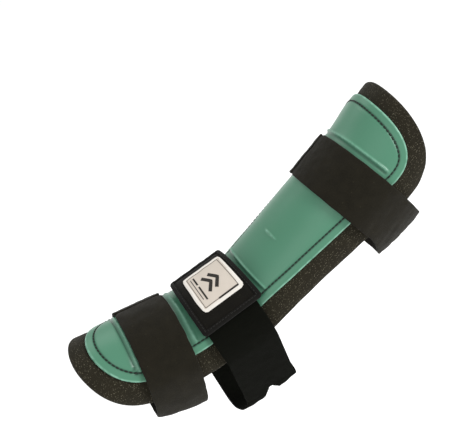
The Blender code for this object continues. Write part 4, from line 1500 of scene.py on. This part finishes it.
@dataclass
class Studio:
    """A plain pale floor, soft lights, and the camera."""

    azimuth: float = math.radians(62.62)
    elevation: float = math.radians(34.44)
    distance: float = 0.54647
    aim: tuple = (0.0, -0.0133, 0.1164)
    lens: float = 47.69
    floor_drop: float = 0.16

    def light(self, name: str, place: tuple, size: float, power: float, colour: str = "#ffffff") -> None:
        """Hang a square soft light that faces the object."""
        data = bpy.data.lights.new(name, "AREA")
        data.size = size
        data.energy = power
        data.color = linear(colour)[:3]
        lamp = bpy.data.objects.new(name, data)
        lamp.location = place
        lamp.rotation_euler = (Vector(self.aim) - Vector(place)).to_track_quat("-Z", "Y").to_euler()
        bpy.context.scene.collection.objects.link(lamp)

    def build(self, lowest: float) -> None:
        """Set up the floor, the lights, the world and the camera.

        Args:
            lowest: The height of the object's lowest point.
        """
        mesh = bpy.data.meshes.new("studio_floor")
        build = bmesh.new()
        bmesh.ops.create_grid(build, x_segments=1, y_segments=1, size=30.0)
        bmesh.ops.translate(build, verts=build.verts, vec=(0.0, 0.0, lowest - self.floor_drop))
        build.to_mesh(mesh)
        build.free()
        floor = bpy.data.objects.new("studio_floor", mesh)
        bpy.context.scene.collection.objects.link(floor)
        paper = Finish("white_studio_paper", "#fbfbfa", "#ffffff", 0.9, 2.0, 0.02, patch_mm=300.0)
        floor.data.materials.append(paper.material())
        surface = paper.material().node_tree.nodes["Principled BSDF"]
        surface.inputs["Emission Color"].default_value = linear("#ffffff")
        surface.inputs["Emission Strength"].default_value = 0.36
        floor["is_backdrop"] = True
        world = bpy.data.worlds.new("studio_world")
        world.use_nodes = True
        world.node_tree.nodes["Background"].inputs["Color"].default_value = linear("#ffffff")
        world.node_tree.nodes["Background"].inputs["Strength"].default_value = 0.62
        bpy.context.scene.world = world
        bpy.context.scene.view_settings.view_transform = "Standard"
        self.light("key_light", (0.75, 0.85, 1.25), 0.5, 15.0)
        self.light("fill_light", (0.60, -1.20, 0.90), 0.9, 2.5)
        self.light("far_light", (-1.10, -0.20, 0.95), 0.8, 2.5)
        level, turn = self.elevation, self.azimuth
        back = Vector((math.sin(turn) * math.cos(level), -math.cos(turn) * math.cos(level), math.sin(level)))
        data = bpy.data.cameras.new("camera")
        data.lens = self.lens
        data.sensor_width = 36.0
        camera = bpy.data.objects.new("camera", data)
        right = Vector((0.0, 0.0, 1.0)).cross(back).normalized()
        axes = Matrix((right, back.cross(right), back)).transposed().to_4x4()
        axes.translation = Vector(self.aim) + back * self.distance
        camera.matrix_world = axes
        bpy.context.scene.collection.objects.link(camera)
        bpy.context.scene.camera = camera


def main() -> None:
    """Build the orthosis round its frame, piece by piece, and the studio."""
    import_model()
    cad_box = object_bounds()
    form, outline = LegForm(), Outline()
    Studio().build(float(cad_box[0][2]))
    ShellAssembly(form, outline).build()
    LinerAssembly(form, outline.grown(*LINER_MARGINS)).build()
    calf = LoopStrap(form, "calf", "back", -0.177, 3, flare=0.007)
    forefoot = LoopStrap(form, "forefoot", "sole", 0.0555, 17)
    flap = AnkleFlap(form)
    for strap in (calf, forefoot):
        strap.build()
        middle = strap.start + strap.width / 2.0
        reach = form.half_width[1]

        def shell_face(along: np.ndarray, across: np.ndarray, height, middle: float = middle) -> np.ndarray:
            return form.point(middle + across, along / reach, height)

        HookPatch(f"{strap.prefix}_hook_tape", f"{strap.prefix}_hook_patch", "splint", shell_face,
                  HOOK_HALF_TURN * reach, strap.width / 2.0 - HOOK_EDGE_MARGIN, HOOK_LAYER).build()
    HeelStrap(form).build()
    flap.build()
    hook_middle = sum(flap.hook_span) / 2.0 * flap.radius

    def flap_face(along: np.ndarray, across: np.ndarray, height) -> np.ndarray:
        return flap.place(across, along + hook_middle, height)

    HookPatch("flap_hook_tape", "ankle_flap_hook", "ankle_flap", flap_face,
              (flap.hook_span[1] - flap.hook_span[0]) / 2.0 * flap.radius, flap.length * 0.35,
              (-0.0001, -0.0006)).build()


if __name__ == "__main__":
    main()
